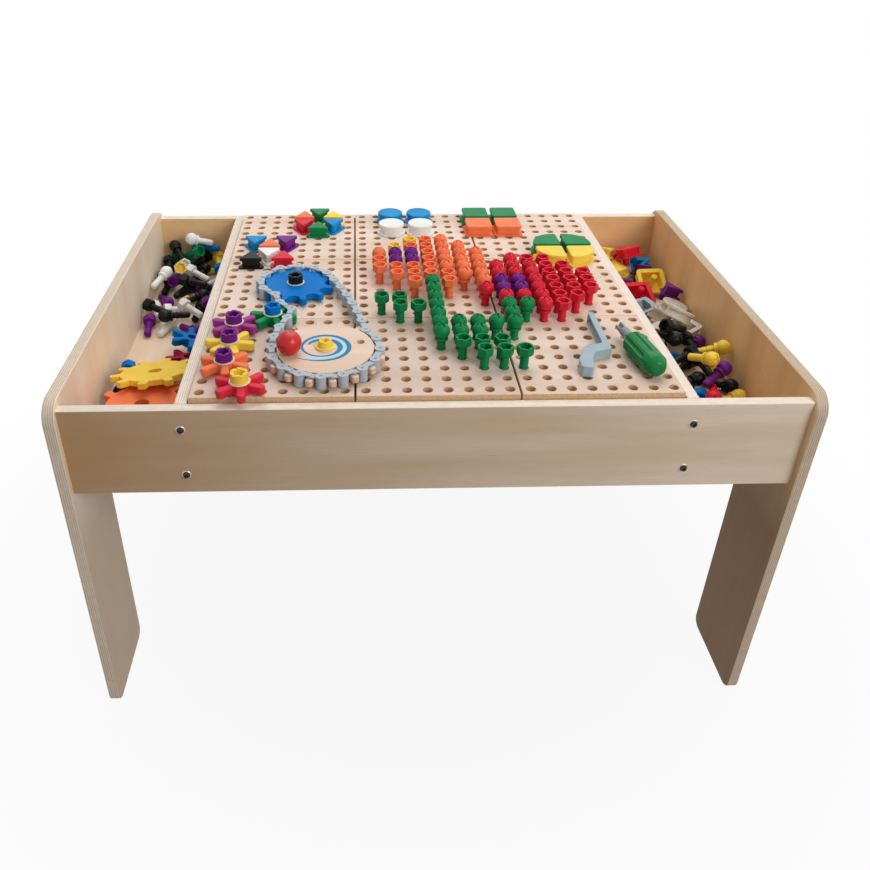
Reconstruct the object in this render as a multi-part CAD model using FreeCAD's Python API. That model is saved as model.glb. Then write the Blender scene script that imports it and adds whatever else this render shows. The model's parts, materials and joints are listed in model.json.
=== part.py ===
"""Children's plywood activity table: peg-board top, storage bins, gears with a chain, bolts, pegs and tools.

Millimetres. Origin on the floor at the table's centre, +X along it to the right, +Y to the back, +Z up.
"""
import FreeCAD, Part
import math
import os

from FreeCAD import Placement, Rotation, Vector

# Frame of the table
PLY = 15.0
PLAY_HEIGHT = 520.0
BOARD_RISE = 7.0
PANEL_RISE = 11.0
RAIL_HEIGHT = 123.0
RAIL_SETBACK = 8.5
BIN_WIDTH = 135.0
LEG_DEPTH = 134.0
ARCH_HEIGHT = 372.0
ARCH_RADIUS = 45.0
PANEL_CORNER = 28.0
FOOT_CORNER = 16.0
ARRIS = 1.5
FLOOR_LIFT = 8.0
GROOVE_DEPTH = 5.0
GROOVE_PLAY = 0.2
BEARER_WIDTH = 24.0
BEARER_HEIGHT = 30.0

# Peg boards
HOLE_PITCH = 25.0
HOLES = 8
TILES = 3
HOLE_RADIUS = 6.0
HOLE_CHAMFER = 0.7
BOARD_THICK = 15.0
COLUMN_GAP = 2.4
ROW_GAP = 0.6
BOARD_FIT = 1.0

# Connector screws
SCREW_RADIUS = 3.0
SCREW_PLAY = 0.2
SCREW_REACH = 50.0
SCREW_HEAD_RADIUS = 4.6
SCREW_HEAD_HEIGHT = 2.0
SCREW_HEAD_TAPER = 0.8
SCREW_SOCKET = 2.4
SCREW_SOCKET_FLOOR = 0.4
SCREW_EDGE = 28.0
CUP_RADIUS = 6.2
CUP_THICK = 1.0
CUP_TAPER = 0.85

# Gears and chain
RUN = 0.3
LINK_PITCH = 27.0
CRANK_TEETH = 16
CRANK_TIP_RISE = 8.0
CRANK_TOOTH_WIDTH = 9.6
CRANK_TOOTH_LOW = 4.6
CRANK_TOOTH_HIGH = 13.6
CRANK_TOOTH_ROUND = 4.0
CRANK_TOOTH_SOFT = 1.6
CRANK_TOOTH_SINK = 8.0
CRANK_TOP = 17.0
BLUE_TEETH = 12
BLUE_TIP_RISE = 4.6
BLUE_TOP = 13.0
TOOTH_TOP = 14.6
TOOTH_BOTTOM = 3.0
SEAT_PLAY = 1.3
SCALLOP_PLAY = 2.4
TOOTH_ROUND = 3.2
LOBE_ROUND = 3.8
BOSS_RADIUS = 16.0
CRANK_HOLE_RADIUS = 5.3
CRANK_THROW = 46.7
CRANK_HANDLE_ANGLE = 197.0
KNOB_RADIUS = 16.0
KNOB_SINK = 1.0
KNOB_STEM_DEPTH = 10.0
BARREL_RADIUS = 6.6
BARREL_BOTTOM = 1.0
LINK_PLATE = 1.4
LINK_STEP = 0.2
LINK_EYE = 7.0
LINK_FOOT = 6.8
LINK_STRAP = 7.6
LINK_PIN = 2.2
LINK_PIN_BORE = 1.3
LINK_PIN_BORE_DEPTH = 2.0
LINK_PIN_PLAY = 0.3
PETALS = 6
PETAL_TIP = 32.8
PETAL_TIP_WIDTH = 10.8
PETAL_ROOT_WIDTH = 6.8
PETAL_TOP = 14.5
PETAL_ROUND = 2.4
FLOWER_BOSS = 13.0

# Hubs
STEM_RADIUS = 5.7
STEM_DEPTH = 14.0
BORE_RADIUS = 6.1
HUB_FOOT = 11.0
HUB_CROWN = 10.4
HUB_HEIGHT = 12.0
HUB_SOCKET = 7.4
HUB_SOCKET_FLOOR = 3.5
HUB_NOTCH = 3.6
HUB_NOTCH_DEPTH = 0.9
CRANK_HUB = {"crown": 7.8, "height": 9.6, "socket": 4.8, "flange": 1.5}
WASHER_RADIUS = 13.0
WASHER_THICK = 1.2

# Play bolts
SHANK_RADIUS = 5.6
SHANK_ROOT = 4.8
SHANK_RIDGE = 3.4
SHANK_TIP = 3.2
SHANK_TAPER = 2.5
HEX_RISE = 19.0
HEX_CORNER = 11.0
HEX_HEIGHT = 12.0
HEX_CHAMFER = 0.9
HEX_SOCKET = 8.2
HEX_SOCKET_DEPTH = 8.0
HEX_NOTCH = 3.0
HEX_NOTCH_DEPTH = 0.6
BALL_RISE = 14.5
BALL_RADIUS = 10.8
BALL_LIFT = 11.5
COLLAR_RADIUS = 8.8
COLLAR_HEIGHT = 3.2
SLOT_WIDTH = 2.6
SLOT_DEPTH = 3.0

# Shape pegs
PEG_HEIGHT = 18.0
PEG_WALL = 2.2
CAP_THICK = 5.0
FLANGE_THICK = 2.6
FLANGE_SPREAD = 2.8
WAIST_DRAW = 2.4
PEG_SIDE = 43.0
PEG_CORNER = 4.0
QUARTER_ROUND = 36.0
TRIANGLE_SIDE = 38.0
TRIANGLE_SHIFT = 5.0
TRIANGLE_CORNER = 2.5

# Tools: outline of the spanner as plan points with corner radii, place and heading of the screwdriver
SPANNER_THICK = 15.0
SPANNER_ROUND = 1.0
SPANNER_WALL = 1.8
SPANNER_POCKET = 4.0
SPANNER_MARGIN = 4.0
SPANNER_OUTLINE = (
    (221, -118, 3), (229.5, -119, 3), (228.5, -218, 4), (205, -226, 6), (198, -242, 10), (194, -265, 3),
    (179, -262, 4), (180, -243, 14), (188, -226, 8), (195, -211, 4), (219.5, -203, 5))
DRIVER_NECK_PLACE = (259.2, -194.8)
DRIVER_HEADING = (12.2, -79.2, 0.0)
DRIVER_RADIUS = 15.4
DRIVER_LENGTH = 80.0
DRIVER_NECK = 10.0
DRIVER_SHOULDER = 9.0
DRIVER_END = 12.0
DRIVER_END_FACE = 6.0
FLUTES = 8
FLUTE_RADIUS = 4.0
FLUTE_BITE = 2.3
FLUTE_RUNOUT = 24.0
BLADE_RADIUS = 6.6
BLADE_LENGTH = 35.0
BLADE_SOCKET = 18.0
BLADE_PLAY = 0.1
BLADE_FIN = 3.0
BLADE_FIN_LENGTH = 14.0
BLADE_FIN_INSET = 0.5

# Loose gears in the left bin
LOOSE_GEAR_TEETH = 10
LOOSE_GEAR_TIP = 61.0
LOOSE_GEAR_ROOT = 48.0
LOOSE_GEAR_BORE = 9.6
LOOSE_GEAR_THICK = 8.5
LOOSE_TOOTH = 12.0
LOOSE_TOOTH_SINK = 6.0
LOOSE_TOOTH_SOFT = 0.5
REST = 0.3
ROLL = 11.0
WALL_ROOM = 2.5
LET_DOWN_STEPS = 40
PEG_BALL = 4.6
PEG_INSETS = (4.2, 9.2, 15.0)

# Heights and places that follow from these sizes
TOP = PLAY_HEIGHT
BOARD_BOTTOM = TOP - BOARD_THICK
RAIL_TOP = TOP - BOARD_RISE
RAIL_BOTTOM = RAIL_TOP - RAIL_HEIGHT
PANEL_TOP = RAIL_TOP + PANEL_RISE
TILE = HOLES * HOLE_PITCH
FIELD = TILES * TILE / 2
INNER = FIELD + BOARD_FIT
DIVIDER_X = INNER + PLY / 2
BIN_OUTER = INNER + PLY + BIN_WIDTH
RAIL_Y = INNER + PLY / 2
HALF_DEPTH = INNER + PLY + RAIL_SETBACK
FLOOR_TOP = RAIL_BOTTOM + FLOOR_LIFT + PLY
SCREW_HEIGHTS = (RAIL_TOP - SCREW_EDGE, RAIL_BOTTOM + SCREW_EDGE)
LINK_BASE = TOOTH_TOP + 0.4
CRANK_RADIUS = LINK_PITCH / (2 * math.sin(math.pi / CRANK_TEETH))
BLUE_RADIUS = LINK_PITCH / (2 * math.sin(math.pi / BLUE_TEETH))
FLOWER_RADIUS = LINK_PITCH / (2 * math.sin(math.pi / PETALS))

# Peg holes, counted from the front left one: gears, then bolts, then shape pegs
CRANK_HOLE = (6, 3)
BLUE_HOLE = (4, 11)
CRANK_FIRST_PIN = 42.0
BLUE_FIRST_PIN = 240.0
GREEN_FIRST_PIN = -40.0
FLOWERS = {
    "green": ((3, 7), 50.0),
    "purple": ((1, 6), 39.0),
    "yellow": ((1, 4), 51.0),
    "orange": ((1, 2), 39.0),
    "red": ((2, 0), 39.0),
}
HUB_COLOURS = {"purple": ("purple", "yellow", "orange"), "yellow": ("red",), "blue": ("green",)}

HEX_BOLTS = {
    "orange": {9: (12, 13), 10: (11, 12), 11: (10, 11, 12, 15), 12: (11, 12, 13, 14, 15, 16), 13: (10, 11)},
    "red": {18: (13,), 19: (7, 8, 9, 10, 11, 12, 13), 20: (8, 9, 10, 11, 12), 21: (9, 10, 11)},
    "green": {9: (8,), 10: (7, 8), 11: (7,), 13: (3,), 14: (2, 3), 15: (2, 3), 16: (2,)},
    "yellow": {10: (15,), 11: (16,)},
}
BALL_BOLTS = {
    "orange": {9: (14,), 13: (12, 13, 14, 15, 16), 14: (11, 12, 13, 14, 15), 15: (10, 11, 12, 13, 14)},
    "red": {15: (9,), 16: (8, 11, 12), 17: (8, 11, 12, 13), 18: (7, 8, 9, 10, 11, 12)},
    "green": {12: (4, 5, 6, 7, 8, 9, 10), 13: (4, 5), 14: (4, 5), 15: (5,), 16: (5, 6, 7), 17: (7,)},
    "purple": {10: (13, 14), 11: (13, 14), 16: (9, 10), 17: (9, 10)},
}
# Shape, hole and quarter turns (triangles: 0 points to the back, 2 to the front)
PEGS = {
    "blue": (("round", (10, 22), 0), ("round", (12, 22), 0), ("triangle", (6, 20), 2),
             ("triangle", (1, 17), 2)),
    "white": (("round", (10, 20), 0), ("round", (12, 20), 0), ("triangle", (2, 15), 2)),
    "green": (("square", (16, 22), 0), ("square", (18, 22), 0), ("quarter", (20, 17), 1),
              ("quarter", (22, 17), 0), ("triangle", (5, 22), 2), ("triangle", (5, 20), 0)),
    "orange": (("square", (16, 20), 0), ("square", (18, 20), 0), ("triangle", (4, 22), 0),
               ("triangle", (2, 17), 0)),
    "yellow": (("quarter", (20, 15), 2), ("quarter", (22, 15), 3), ("triangle", (6, 22), 0)),
    "red": (("triangle", (4, 20), 2), ("triangle", (3, 15), 0)),
    "purple": (("triangle", (3, 17), 2),),
    "black": (("triangle", (1, 15), 0),),
}

# Loose pieces: colour, shape, place across the bin from its outer wall and along it from the front,
# then turn, tilt and roll in degrees
LEFT_BIN = (
    ("black", "hex", 34, 64, 80, 81, 0), ("black", "hex", 96, 70, 280, 81, 0),
    ("black", "ball", 24, 140, 100, 83, 0), ("black", "ball", 96, 140, 250, 83, 0),
    ("blue", "hex", 18, 206, 95, 81, 0), ("orange", "flower", 60, 206, 20, 0, 0),
    ("orange", "gear", 65, 104, 10, 0, 0), ("yellow", "gear", 69, 165, 14, 0, -15),
    ("burgundy", "flower", 100, 240, 15, 8, -6), ("blue", "flower", 96, 282, 40, 14, 8),
    ("purple", "hex", 18, 352, 95, 81, 0), ("white", "hex", 44, 352, 70, 81, 0),
    ("purple", "ball", 78, 346, 320, 83, 0), ("blue", "ball", 112, 364, 265, 83, 0),
    ("black", "hex", 88, 400, 80, 81, 0), ("white", "ball", 18, 404, 110, 83, 0),
    ("white", "hex", 50, 424, 200, 81, 0), ("black", "hex", 110, 444, 15, 81, 0),
    ("purple", "ball", 20, 452, 300, 83, 0), ("yellow", "hex", 72, 456, 250, 81, 0),
    ("purple", "ball", 56, 488, 30, 83, 0), ("black", "hex", 18, 500, 85, 81, 0),
    ("black", "ball", 104, 492, 200, 83, 0), ("green", "ball", 36, 530, 200, 83, 0),
    ("white", "hex", 98, 530, 40, 81, 0), ("blue", "ball", 68, 550, 120, 83, 0),
    ("black", "ball", 16, 552, 95, 83, 0), ("green", "hex", 34, 584, 170, 81, 0),
    ("yellow", "hex", 78, 586, 20, 81, 0), ("yellow", "hex", 114, 574, 100, 81, 0),
    ("black", "ball", 70, 380, 200, 83, 0), ("black", "hex", 40, 388, 150, 81, 0),
    ("purple", "hex", 118, 402, 120, 81, 0), ("black", "ball", 82, 430, 30, 83, 0),
    ("black", "hex", 40, 462, 60, 81, 0), ("blue", "hex", 112, 470, 280, 81, 0),
    ("black", "hex", 84, 476, 170, 81, 0), ("purple", "hex", 44, 512, 260, 81, 0),
    ("black", "ball", 74, 522, 80, 83, 0), ("blue", "hex", 112, 522, 95, 81, 0),
    ("black", "hex", 18, 532, 100, 81, 0), ("black", "hex", 54, 566, 60, 81, 0),
    ("blue", "ball", 100, 590, 180, 83, 0), ("white", "hex", 88, 404, 146, 74, 0),
    ("white", "ball", 22, 470, 60, 70, 0), ("yellow", "hex", 44, 494, 300, 66, 10),
    ("white", "hex", 82, 500, 153, 72, 0), ("white", "hex", 46, 550, 280, 66, 5),
    ("green", "hex", 50, 586, 330, 64, 0), ("black", "ball", 24, 586, 120, 70, 0),
    ("white", "ball", 80, 582, 200, 70, 0),
)
RIGHT_BIN = (
    ("black", "ball", 26, 60, 100, 83, 0), ("yellow", "ball", 62, 56, 20, 83, 0),
    ("black", "ball", 106, 58, 120, 83, 0), ("yellow", "ball", 36, 98, 350, 83, 0),
    ("yellow", "hex", 112, 106, 80, 81, 0), ("blue", "hex", 80, 116, 60, 81, 0),
    ("yellow", "ball", 30, 130, 10, 83, 0), ("red", "ball", 60, 140, 250, 83, 0),
    ("black", "hex", 112, 160, 95, 81, 0), ("black", "ball", 28, 164, 330, 83, 0),
    ("blue", "hex", 84, 176, 120, 81, 0), ("yellow", "ball", 30, 200, 15, 83, 0),
    ("black", "ball", 66, 206, 40, 83, 0), ("black", "hex", 106, 212, 100, 81, 0),
    ("yellow", "ball", 28, 238, 350, 83, 0), ("blue", "hex", 70, 242, 200, 81, 0),
    ("black", "hex", 112, 258, 80, 81, 0), ("purple", "ball", 24, 274, 40, 83, 0),
    ("clear", "quarter", 78, 292, 200, 20, 10), ("clear", "square", 32, 322, 25, 166, 0),
    ("grey", "triangle", 96, 336, 10, 150, 0), ("clear", "round", 28, 372, 0, 18, 0),
    ("grey", "square", 82, 384, 12, 160, 6), ("purple", "triangle", 22, 418, 10, 22, 0),
    ("red", "square", 66, 436, 8, 0, -155), ("yellow", "square", 30, 482, 4, 0, -145),
    ("purple", "triangle", 84, 486, 40, 20, 0), ("yellow", "quarter", 88, 528, 200, 20, 0),
    ("purple", "triangle", 40, 534, 80, 20, 0), ("red", "triangle", 84, 576, 150, 18, 0),
    ("blue", "triangle", 34, 576, 20, 150, 0), ("black", "hex", 86, 84, 140, 81, 0),
    ("purple", "ball", 60, 92, 200, 83, 0), ("black", "ball", 86, 146, 20, 83, 0),
    ("black", "hex", 60, 172, 100, 81, 0), ("blue", "hex", 114, 186, 100, 81, 0),
    ("black", "hex", 88, 206, 30, 81, 0), ("black", "ball", 94, 234, 210, 83, 0),
    ("black", "hex", 42, 252, 100, 81, 0), ("black", "ball", 86, 266, 300, 83, 0),
    ("purple", "ball", 112, 290, 100, 83, 0), ("clear", "triangle", 54, 344, 200, 150, 0),
    ("clear", "round", 52, 300, 30, 30, 0), ("yellow", "triangle", 108, 566, 60, 20, 0),
    ("red", "quarter", 62, 556, 120, 24, 0), ("yellow", "ball", 44, 218, 340, 66, 0),
    ("black", "hex", 52, 262, 200, 70, 0), ("purple", "ball", 40, 148, 30, 66, 0),
    ("yellow", "ball", 52, 182, 300, 68, 0),
)


def box(low, high):
    """Block between two opposite corners."""
    size = Vector(*high) - Vector(*low)
    return Part.makeBox(size.x, size.y, size.z, Vector(*low))


def post(radius, low, high, x=0.0, y=0.0):
    """Upright cylinder from one height to another."""
    return Part.makeCylinder(radius, high - low, Vector(x, y, low))


def turned(outline):
    """Solid of revolution about Z from (radius, height) points that start and end on the axis."""
    points = [Vector(r, 0, z) for r, z in outline]
    return Part.Face(Part.makePolygon(points + points[:1])).revolve(Vector(), Vector(0, 0, 1), 360)


def rounded(corners):
    """Closed wire in XY through (x, y, radius) corners, each rounded by its own tangent arc."""
    edges, ends = [], []
    count = len(corners)
    for k, (x, y, radius) in enumerate(corners):
        here = Vector(x, y, 0)
        back = Vector(*corners[k - 1][:2], 0) - here
        ahead = Vector(*corners[(k + 1) % count][:2], 0) - here
        back.normalize()
        ahead.normalize()
        half = back.getAngle(ahead) / 2
        inward = back + ahead
        inward.normalize()
        reach = radius / math.tan(half)
        centre = here + inward * (radius / math.sin(half))
        ends.append((here + back * reach, centre - inward * radius, here + ahead * reach))
    for k, (start, middle, finish) in enumerate(ends):
        edges.append(Part.Arc(start, middle, finish).toShape())
        edges.append(Part.LineSegment(finish, ends[(k + 1) % count][0]).toShape())
    return Part.Wire(edges)


def plate(wire, low, high):
    """Prism of a wire in XY between two heights."""
    slab = Part.Face(wire).extrude(Vector(0, 0, high - low))
    slab.translate(Vector(0, 0, low))
    return slab


def polygon(corner_radius, sides, turn=0.0):
    """Regular polygon wire about the origin."""
    points = []
    for k in range(sides + 1):
        angle = math.radians(turn + 360.0 * k / sides)
        points.append(Vector(corner_radius * math.cos(angle), corner_radius * math.sin(angle), 0))
    return Part.makePolygon(points)


def placed(shape, x, y, z, turn=0.0):
    """Copy of a shape, turned about Z and then moved."""
    copy = shape.copy()
    move = Placement(Vector(x, y, z), Rotation(Vector(0, 0, 1), turn))
    copy.Placement = move.multiply(copy.Placement)
    return copy


def fused(shapes):
    """One solid from shapes that touch or overlap."""
    return shapes[0].multiFuse(shapes[1:]).removeSplitter()


def polar(centre, radius, angle):
    """Point on a circle about centre, angle in degrees."""
    turn = math.radians(angle)
    return Vector(centre.x + radius * math.cos(turn), centre.y + radius * math.sin(turn), 0)


def hole_place(hole):
    """Centre of a peg hole in plan, from its column and row."""
    first = HOLE_PITCH / 2 - FIELD
    return Vector(first + hole[0] * HOLE_PITCH, first + hole[1] * HOLE_PITCH, 0)


def softened(solid, radius, chosen):
    """Solid with the edges that the test chooses rounded over."""
    return solid.makeFillet(radius, [edge for edge in solid.Edges if chosen(edge)])


# Table frame

def screw_places():
    """Foot point of each connector screw's head on its panel and the direction in which it is driven."""
    places = []
    for side in (-1, 1):
        for height in SCREW_HEIGHTS:
            for end in (-1, 1):
                places.append((Vector(side * DIVIDER_X, end * (INNER + PLY), height), Vector(0, -end, 0)))
                places.append((Vector(side * (BIN_OUTER + PLY), end * RAIL_Y, height), Vector(-side, 0, 0)))
    return places


def screw_holes():
    """Drillings of all connector screws."""
    return [Part.makeCylinder(SCREW_RADIUS + SCREW_PLAY, SCREW_REACH + SCREW_PLAY, foot, drive)
            for foot, drive in screw_places()]


def end_panel(side):
    """Full-height end panel: an inverted U with rounded corners."""
    leg = HALF_DEPTH - LEG_DEPTH
    wire = rounded([
        (-HALF_DEPTH, 0, FOOT_CORNER), (-leg, 0, FOOT_CORNER), (-leg, ARCH_HEIGHT, ARCH_RADIUS),
        (leg, ARCH_HEIGHT, ARCH_RADIUS), (leg, 0, FOOT_CORNER), (HALF_DEPTH, 0, FOOT_CORNER),
        (HALF_DEPTH, PANEL_TOP, PANEL_CORNER), (-HALF_DEPTH, PANEL_TOP, PANEL_CORNER)])
    panel = plate(wire, 0, PLY)
    panel = softened(panel, ARRIS, lambda edge: edge.BoundBox.ZLength < 0.1)
    inner = BIN_OUTER if side > 0 else -BIN_OUTER - PLY
    panel.Placement = Placement(Vector(inner, 0, 0), Rotation(0.5, 0.5, 0.5, 0.5))
    return panel


def rail(side):
    """Long rail between the end panels."""
    low = side * RAIL_Y - PLY / 2
    solid = box((-BIN_OUTER, low, RAIL_BOTTOM), (BIN_OUTER, low + PLY, RAIL_TOP))
    return softened(solid, ARRIS, lambda edge: edge.BoundBox.XLength > BIN_OUTER)


def divider(side):
    """Upright between a bin and the peg boards."""
    low = side * DIVIDER_X - PLY / 2
    solid = box((low, -INNER, RAIL_BOTTOM), (low + PLY, INNER, RAIL_TOP))
    return softened(solid, ARRIS, lambda edge: edge.BoundBox.YLength > INNER)


def bin_floor(side, play=0.0):
    """Floor of a bin, let into grooves all round."""
    reach = GROOVE_DEPTH + play
    near, far = INNER + PLY - reach, BIN_OUTER + reach
    low, high = sorted((side * near, side * far))
    depth = INNER + reach
    return box((low, -depth, FLOOR_TOP - PLY - play), (high, depth, FLOOR_TOP + play))


def table_frame():
    """Panels, rails, dividers, bin floors and bearers, with their grooves and drillings."""
    cuts = screw_holes() + [bin_floor(side, GROOVE_PLAY) for side in (-1, 1)]
    nodes = {
        "left_end_panel": end_panel(-1).cut(cuts), "right_end_panel": end_panel(1).cut(cuts),
        "front_rail": rail(-1).cut(cuts), "back_rail": rail(1).cut(cuts),
        "left_divider": divider(-1).cut(cuts), "right_divider": divider(1).cut(cuts),
        "left_bin_floor": bin_floor(-1), "right_bin_floor": bin_floor(1),
    }
    bearers = []
    for x in (-INNER + BEARER_WIDTH / 2, -TILE / 2, TILE / 2, INNER - BEARER_WIDTH / 2):
        low, high = x - BEARER_WIDTH / 2, x + BEARER_WIDTH / 2
        beam = box((low, -INNER, BOARD_BOTTOM - BEARER_HEIGHT), (high, INNER, BOARD_BOTTOM))
        bearers.append(beam.cut(cuts))
    nodes["board_bearers"] = bearers
    return nodes


def fasteners():
    """Connector screws with hex sockets and the cups under their heads."""
    head = Part.makeCone(SCREW_HEAD_RADIUS, SCREW_HEAD_RADIUS * SCREW_HEAD_TAPER, SCREW_HEAD_HEIGHT,
                         Vector(0, 0, CUP_THICK))
    screw = fused([head, post(SCREW_RADIUS, -SCREW_REACH, CUP_THICK)])
    floor = CUP_THICK + SCREW_SOCKET_FLOOR
    screw = screw.cut(plate(polygon(SCREW_SOCKET, 6), floor, CUP_THICK + SCREW_HEAD_HEIGHT + 1))
    cup = Part.makeCone(CUP_RADIUS, CUP_RADIUS * CUP_TAPER, CUP_THICK)
    cup = cup.cut(post(SCREW_RADIUS + SCREW_PLAY, -1, CUP_THICK + 1))
    nodes = {"connector_screws": [], "screw_cups": []}
    for foot, drive in screw_places():
        for group, shape in zip(nodes.values(), (screw, cup)):
            copy = shape.copy()
            copy.Placement = Placement(foot, Rotation(Vector(0, 0, 1), drive * -1))
            group.append(copy)
    return nodes


def peg_boards():
    """Nine square boards with a grid of chamfered peg holes."""
    wide, deep = TILE - COLUMN_GAP, TILE - ROW_GAP
    board = box((-wide / 2, -deep / 2, -BOARD_THICK), (wide / 2, deep / 2, 0))
    board = softened(board, ARRIS, lambda edge: edge.BoundBox.ZMin > -1)
    tool = turned([(0, -BOARD_THICK - 1), (HOLE_RADIUS, -BOARD_THICK - 1), (HOLE_RADIUS, -HOLE_CHAMFER),
                   (HOLE_RADIUS + HOLE_CHAMFER + 1, 1), (0, 1)])
    start = HOLE_PITCH / 2 - TILE / 2
    tools = [placed(tool, start + i * HOLE_PITCH, start + j * HOLE_PITCH, 0)
             for i in range(HOLES) for j in range(HOLES)]
    board = board.cut(tools)
    names = {}
    for j, row in enumerate(("front", "middle", "back")):
        for i, column in enumerate(("left", "centre", "right")):
            names[f"peg_board_{row}_{column}"] = placed(board, (i - 1) * TILE, (j - 1) * TILE, TOP)
    return names


# Gear works

def crank_gear():
    """Wooden crank gear: finger teeth between the chain's barrels, raised middle and two handle holes."""
    root, tip = CRANK_RADIUS - BARREL_RADIUS - SEAT_PLAY, CRANK_RADIUS + CRANK_TIP_RISE
    back, side = root - CRANK_TOOTH_SINK, CRANK_TOOTH_WIDTH / 2
    corners = ((back, -side), (tip, -side), (tip, side), (back, side))
    outline = rounded([(x, y, CRANK_TOOTH_ROUND) for x, y in corners])
    tooth = plate(outline, CRANK_TOOTH_LOW, CRANK_TOOTH_HIGH)
    tooth = softened(tooth, CRANK_TOOTH_SOFT, lambda edge: edge.BoundBox.ZLength < 0.1)
    teeth = [placed(tooth, 0, 0, 0, 360.0 * (k + 0.5) / CRANK_TEETH) for k in range(CRANK_TEETH)]
    middle = post(CRANK_RADIUS - LINK_EYE - 2 * RUN, TOOTH_BOTTOM, CRANK_TOP)
    gear = fused([post(root, TOOTH_BOTTOM, TOOTH_TOP), middle, post(BOSS_RADIUS, RUN, CRANK_TOP)] + teeth)
    gear.rotate(Vector(), Vector(0, 0, 1), CRANK_FIRST_PIN)
    cuts = [post(BORE_RADIUS, -1, CRANK_TOP + 1)]
    for angle in (CRANK_HANDLE_ANGLE, CRANK_HANDLE_ANGLE - 180):
        spot = polar(Vector(), CRANK_THROW, angle)
        cuts.append(post(CRANK_HOLE_RADIUS, -1, CRANK_TOP + 1, spot.x, spot.y))
    centre = hole_place(CRANK_HOLE)
    return placed(gear.cut(cuts), centre.x, centre.y, TOP)


def crank_knob():
    """Ball knob with a stem in the crank gear's handle hole."""
    middle = CRANK_TOP + RUN + KNOB_RADIUS - KNOB_SINK
    ball = Part.makeSphere(KNOB_RADIUS, Vector(0, 0, middle))
    ball = ball.cut(post(KNOB_RADIUS, middle - 2 * KNOB_RADIUS, CRANK_TOP + RUN))
    stem = post(CRANK_HOLE_RADIUS - RUN, CRANK_TOP - KNOB_STEM_DEPTH, CRANK_TOP + 2 * RUN)
    spot = polar(hole_place(CRANK_HOLE), CRANK_THROW, CRANK_HANDLE_ANGLE)
    return placed(fused([ball, stem]), spot.x, spot.y, TOP)


def blue_gear():
    """Moulded gear with wide scallops for the chain between rounded lobes."""
    disc = post(BLUE_RADIUS + BLUE_TIP_RISE, TOOTH_BOTTOM, BLUE_TOP)
    scallops = []
    for k in range(BLUE_TEETH):
        spot = polar(Vector(), BLUE_RADIUS, 360.0 * k / BLUE_TEETH)
        scallops.append(post(BARREL_RADIUS + SCALLOP_PLAY, TOOTH_BOTTOM - 1, BLUE_TOP + 1, spot.x, spot.y))
    deep = 0.9 * (BLUE_TOP - TOOTH_BOTTOM)
    upright = lambda edge: edge.BoundBox.ZLength > deep and edge.BoundBox.XLength < 0.1
    disc = softened(disc.cut(scallops), LOBE_ROUND, upright)
    gear = fused([disc, post(BOSS_RADIUS, RUN, BLUE_TOP)]).cut(post(BORE_RADIUS, -1, BLUE_TOP + 1))
    centre = hole_place(BLUE_HOLE)
    return placed(gear, centre.x, centre.y, TOP, BLUE_FIRST_PIN)


def flower():
    """Six-petal gear lying on its boss."""
    end = PETAL_TIP - PETAL_TIP_WIDTH / 2
    root, tip = PETAL_ROOT_WIDTH / 2, PETAL_TIP_WIDTH / 2
    sides = Part.Wire([
        Part.LineSegment(Vector(0, -root, 0), Vector(end, -tip, 0)).toShape(),
        Part.Arc(Vector(end, -tip, 0), Vector(PETAL_TIP, 0, 0), Vector(end, tip, 0)).toShape(),
        Part.LineSegment(Vector(end, tip, 0), Vector(0, root, 0)).toShape(),
        Part.LineSegment(Vector(0, root, 0), Vector(0, -root, 0)).toShape()])
    petal = plate(sides, TOOTH_BOTTOM, PETAL_TOP)
    flat = lambda edge: edge.BoundBox.ZLength < 0.1 and edge.BoundBox.XMax > 1
    petal = softened(petal, PETAL_ROUND, flat)
    petals = [placed(petal, 0, 0, 0, 360.0 * k / PETALS) for k in range(PETALS)]
    return fused(petals + [post(FLOWER_BOSS, RUN, PETAL_TOP)]).cut(post(BORE_RADIUS, -1, PETAL_TOP + 1))


def crown_hub(top, crown=HUB_CROWN, height=HUB_HEIGHT, socket=HUB_SOCKET, flange=0.0):
    """Hub above a gear: crown with a hex socket and a notched rim, on a stem into the peg hole."""
    base = top + RUN + WASHER_THICK
    peak = base + height
    cone = Part.makeCone(HUB_FOOT, crown, height, Vector(0, 0, base))
    pieces = [cone, post(STEM_RADIUS, -STEM_DEPTH, base + 1)]
    if flange:
        pieces.append(post(HUB_FOOT + flange, base, base + flange))
    cuts = [plate(polygon(socket, 6), base + HUB_SOCKET_FLOOR, peak + 1)]
    low, half = peak - HUB_NOTCH_DEPTH, HUB_NOTCH / 2
    for k in range(3):
        cuts.append(placed(box((-HUB_FOOT, -half, low), (HUB_FOOT, half, peak + 1)), 0, 0, 0, 60.0 * k))
    return fused(pieces).cut(cuts)


def washer(top):
    """Thin ring between a gear and its hub."""
    low, high = top + RUN, top + RUN + WASHER_THICK
    return post(WASHER_RADIUS, low, high).cut(post(BORE_RADIUS, low - 1, high + 1))


def hubs_and_washers():
    """All hubs by colour, and the washers under them."""
    nodes, rings = {}, []

    def seat(group, hole, top, **sizes):
        spot = hole_place(hole)
        hub = placed(crown_hub(top, **sizes), spot.x, spot.y, TOP, 20 * len(rings))
        nodes.setdefault(group, []).append(hub)
        rings.append(placed(washer(top), spot.x, spot.y, TOP))

    for colour, gears in HUB_COLOURS.items():
        for gear in gears:
            seat(f"{colour}_hubs", FLOWERS[gear][0], PETAL_TOP)
    seat("yellow_hubs", CRANK_HOLE, CRANK_TOP, **CRANK_HUB)
    seat("black_hubs", BLUE_HOLE, BLUE_TOP)
    nodes["hub_washers"] = rings
    return nodes


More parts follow.
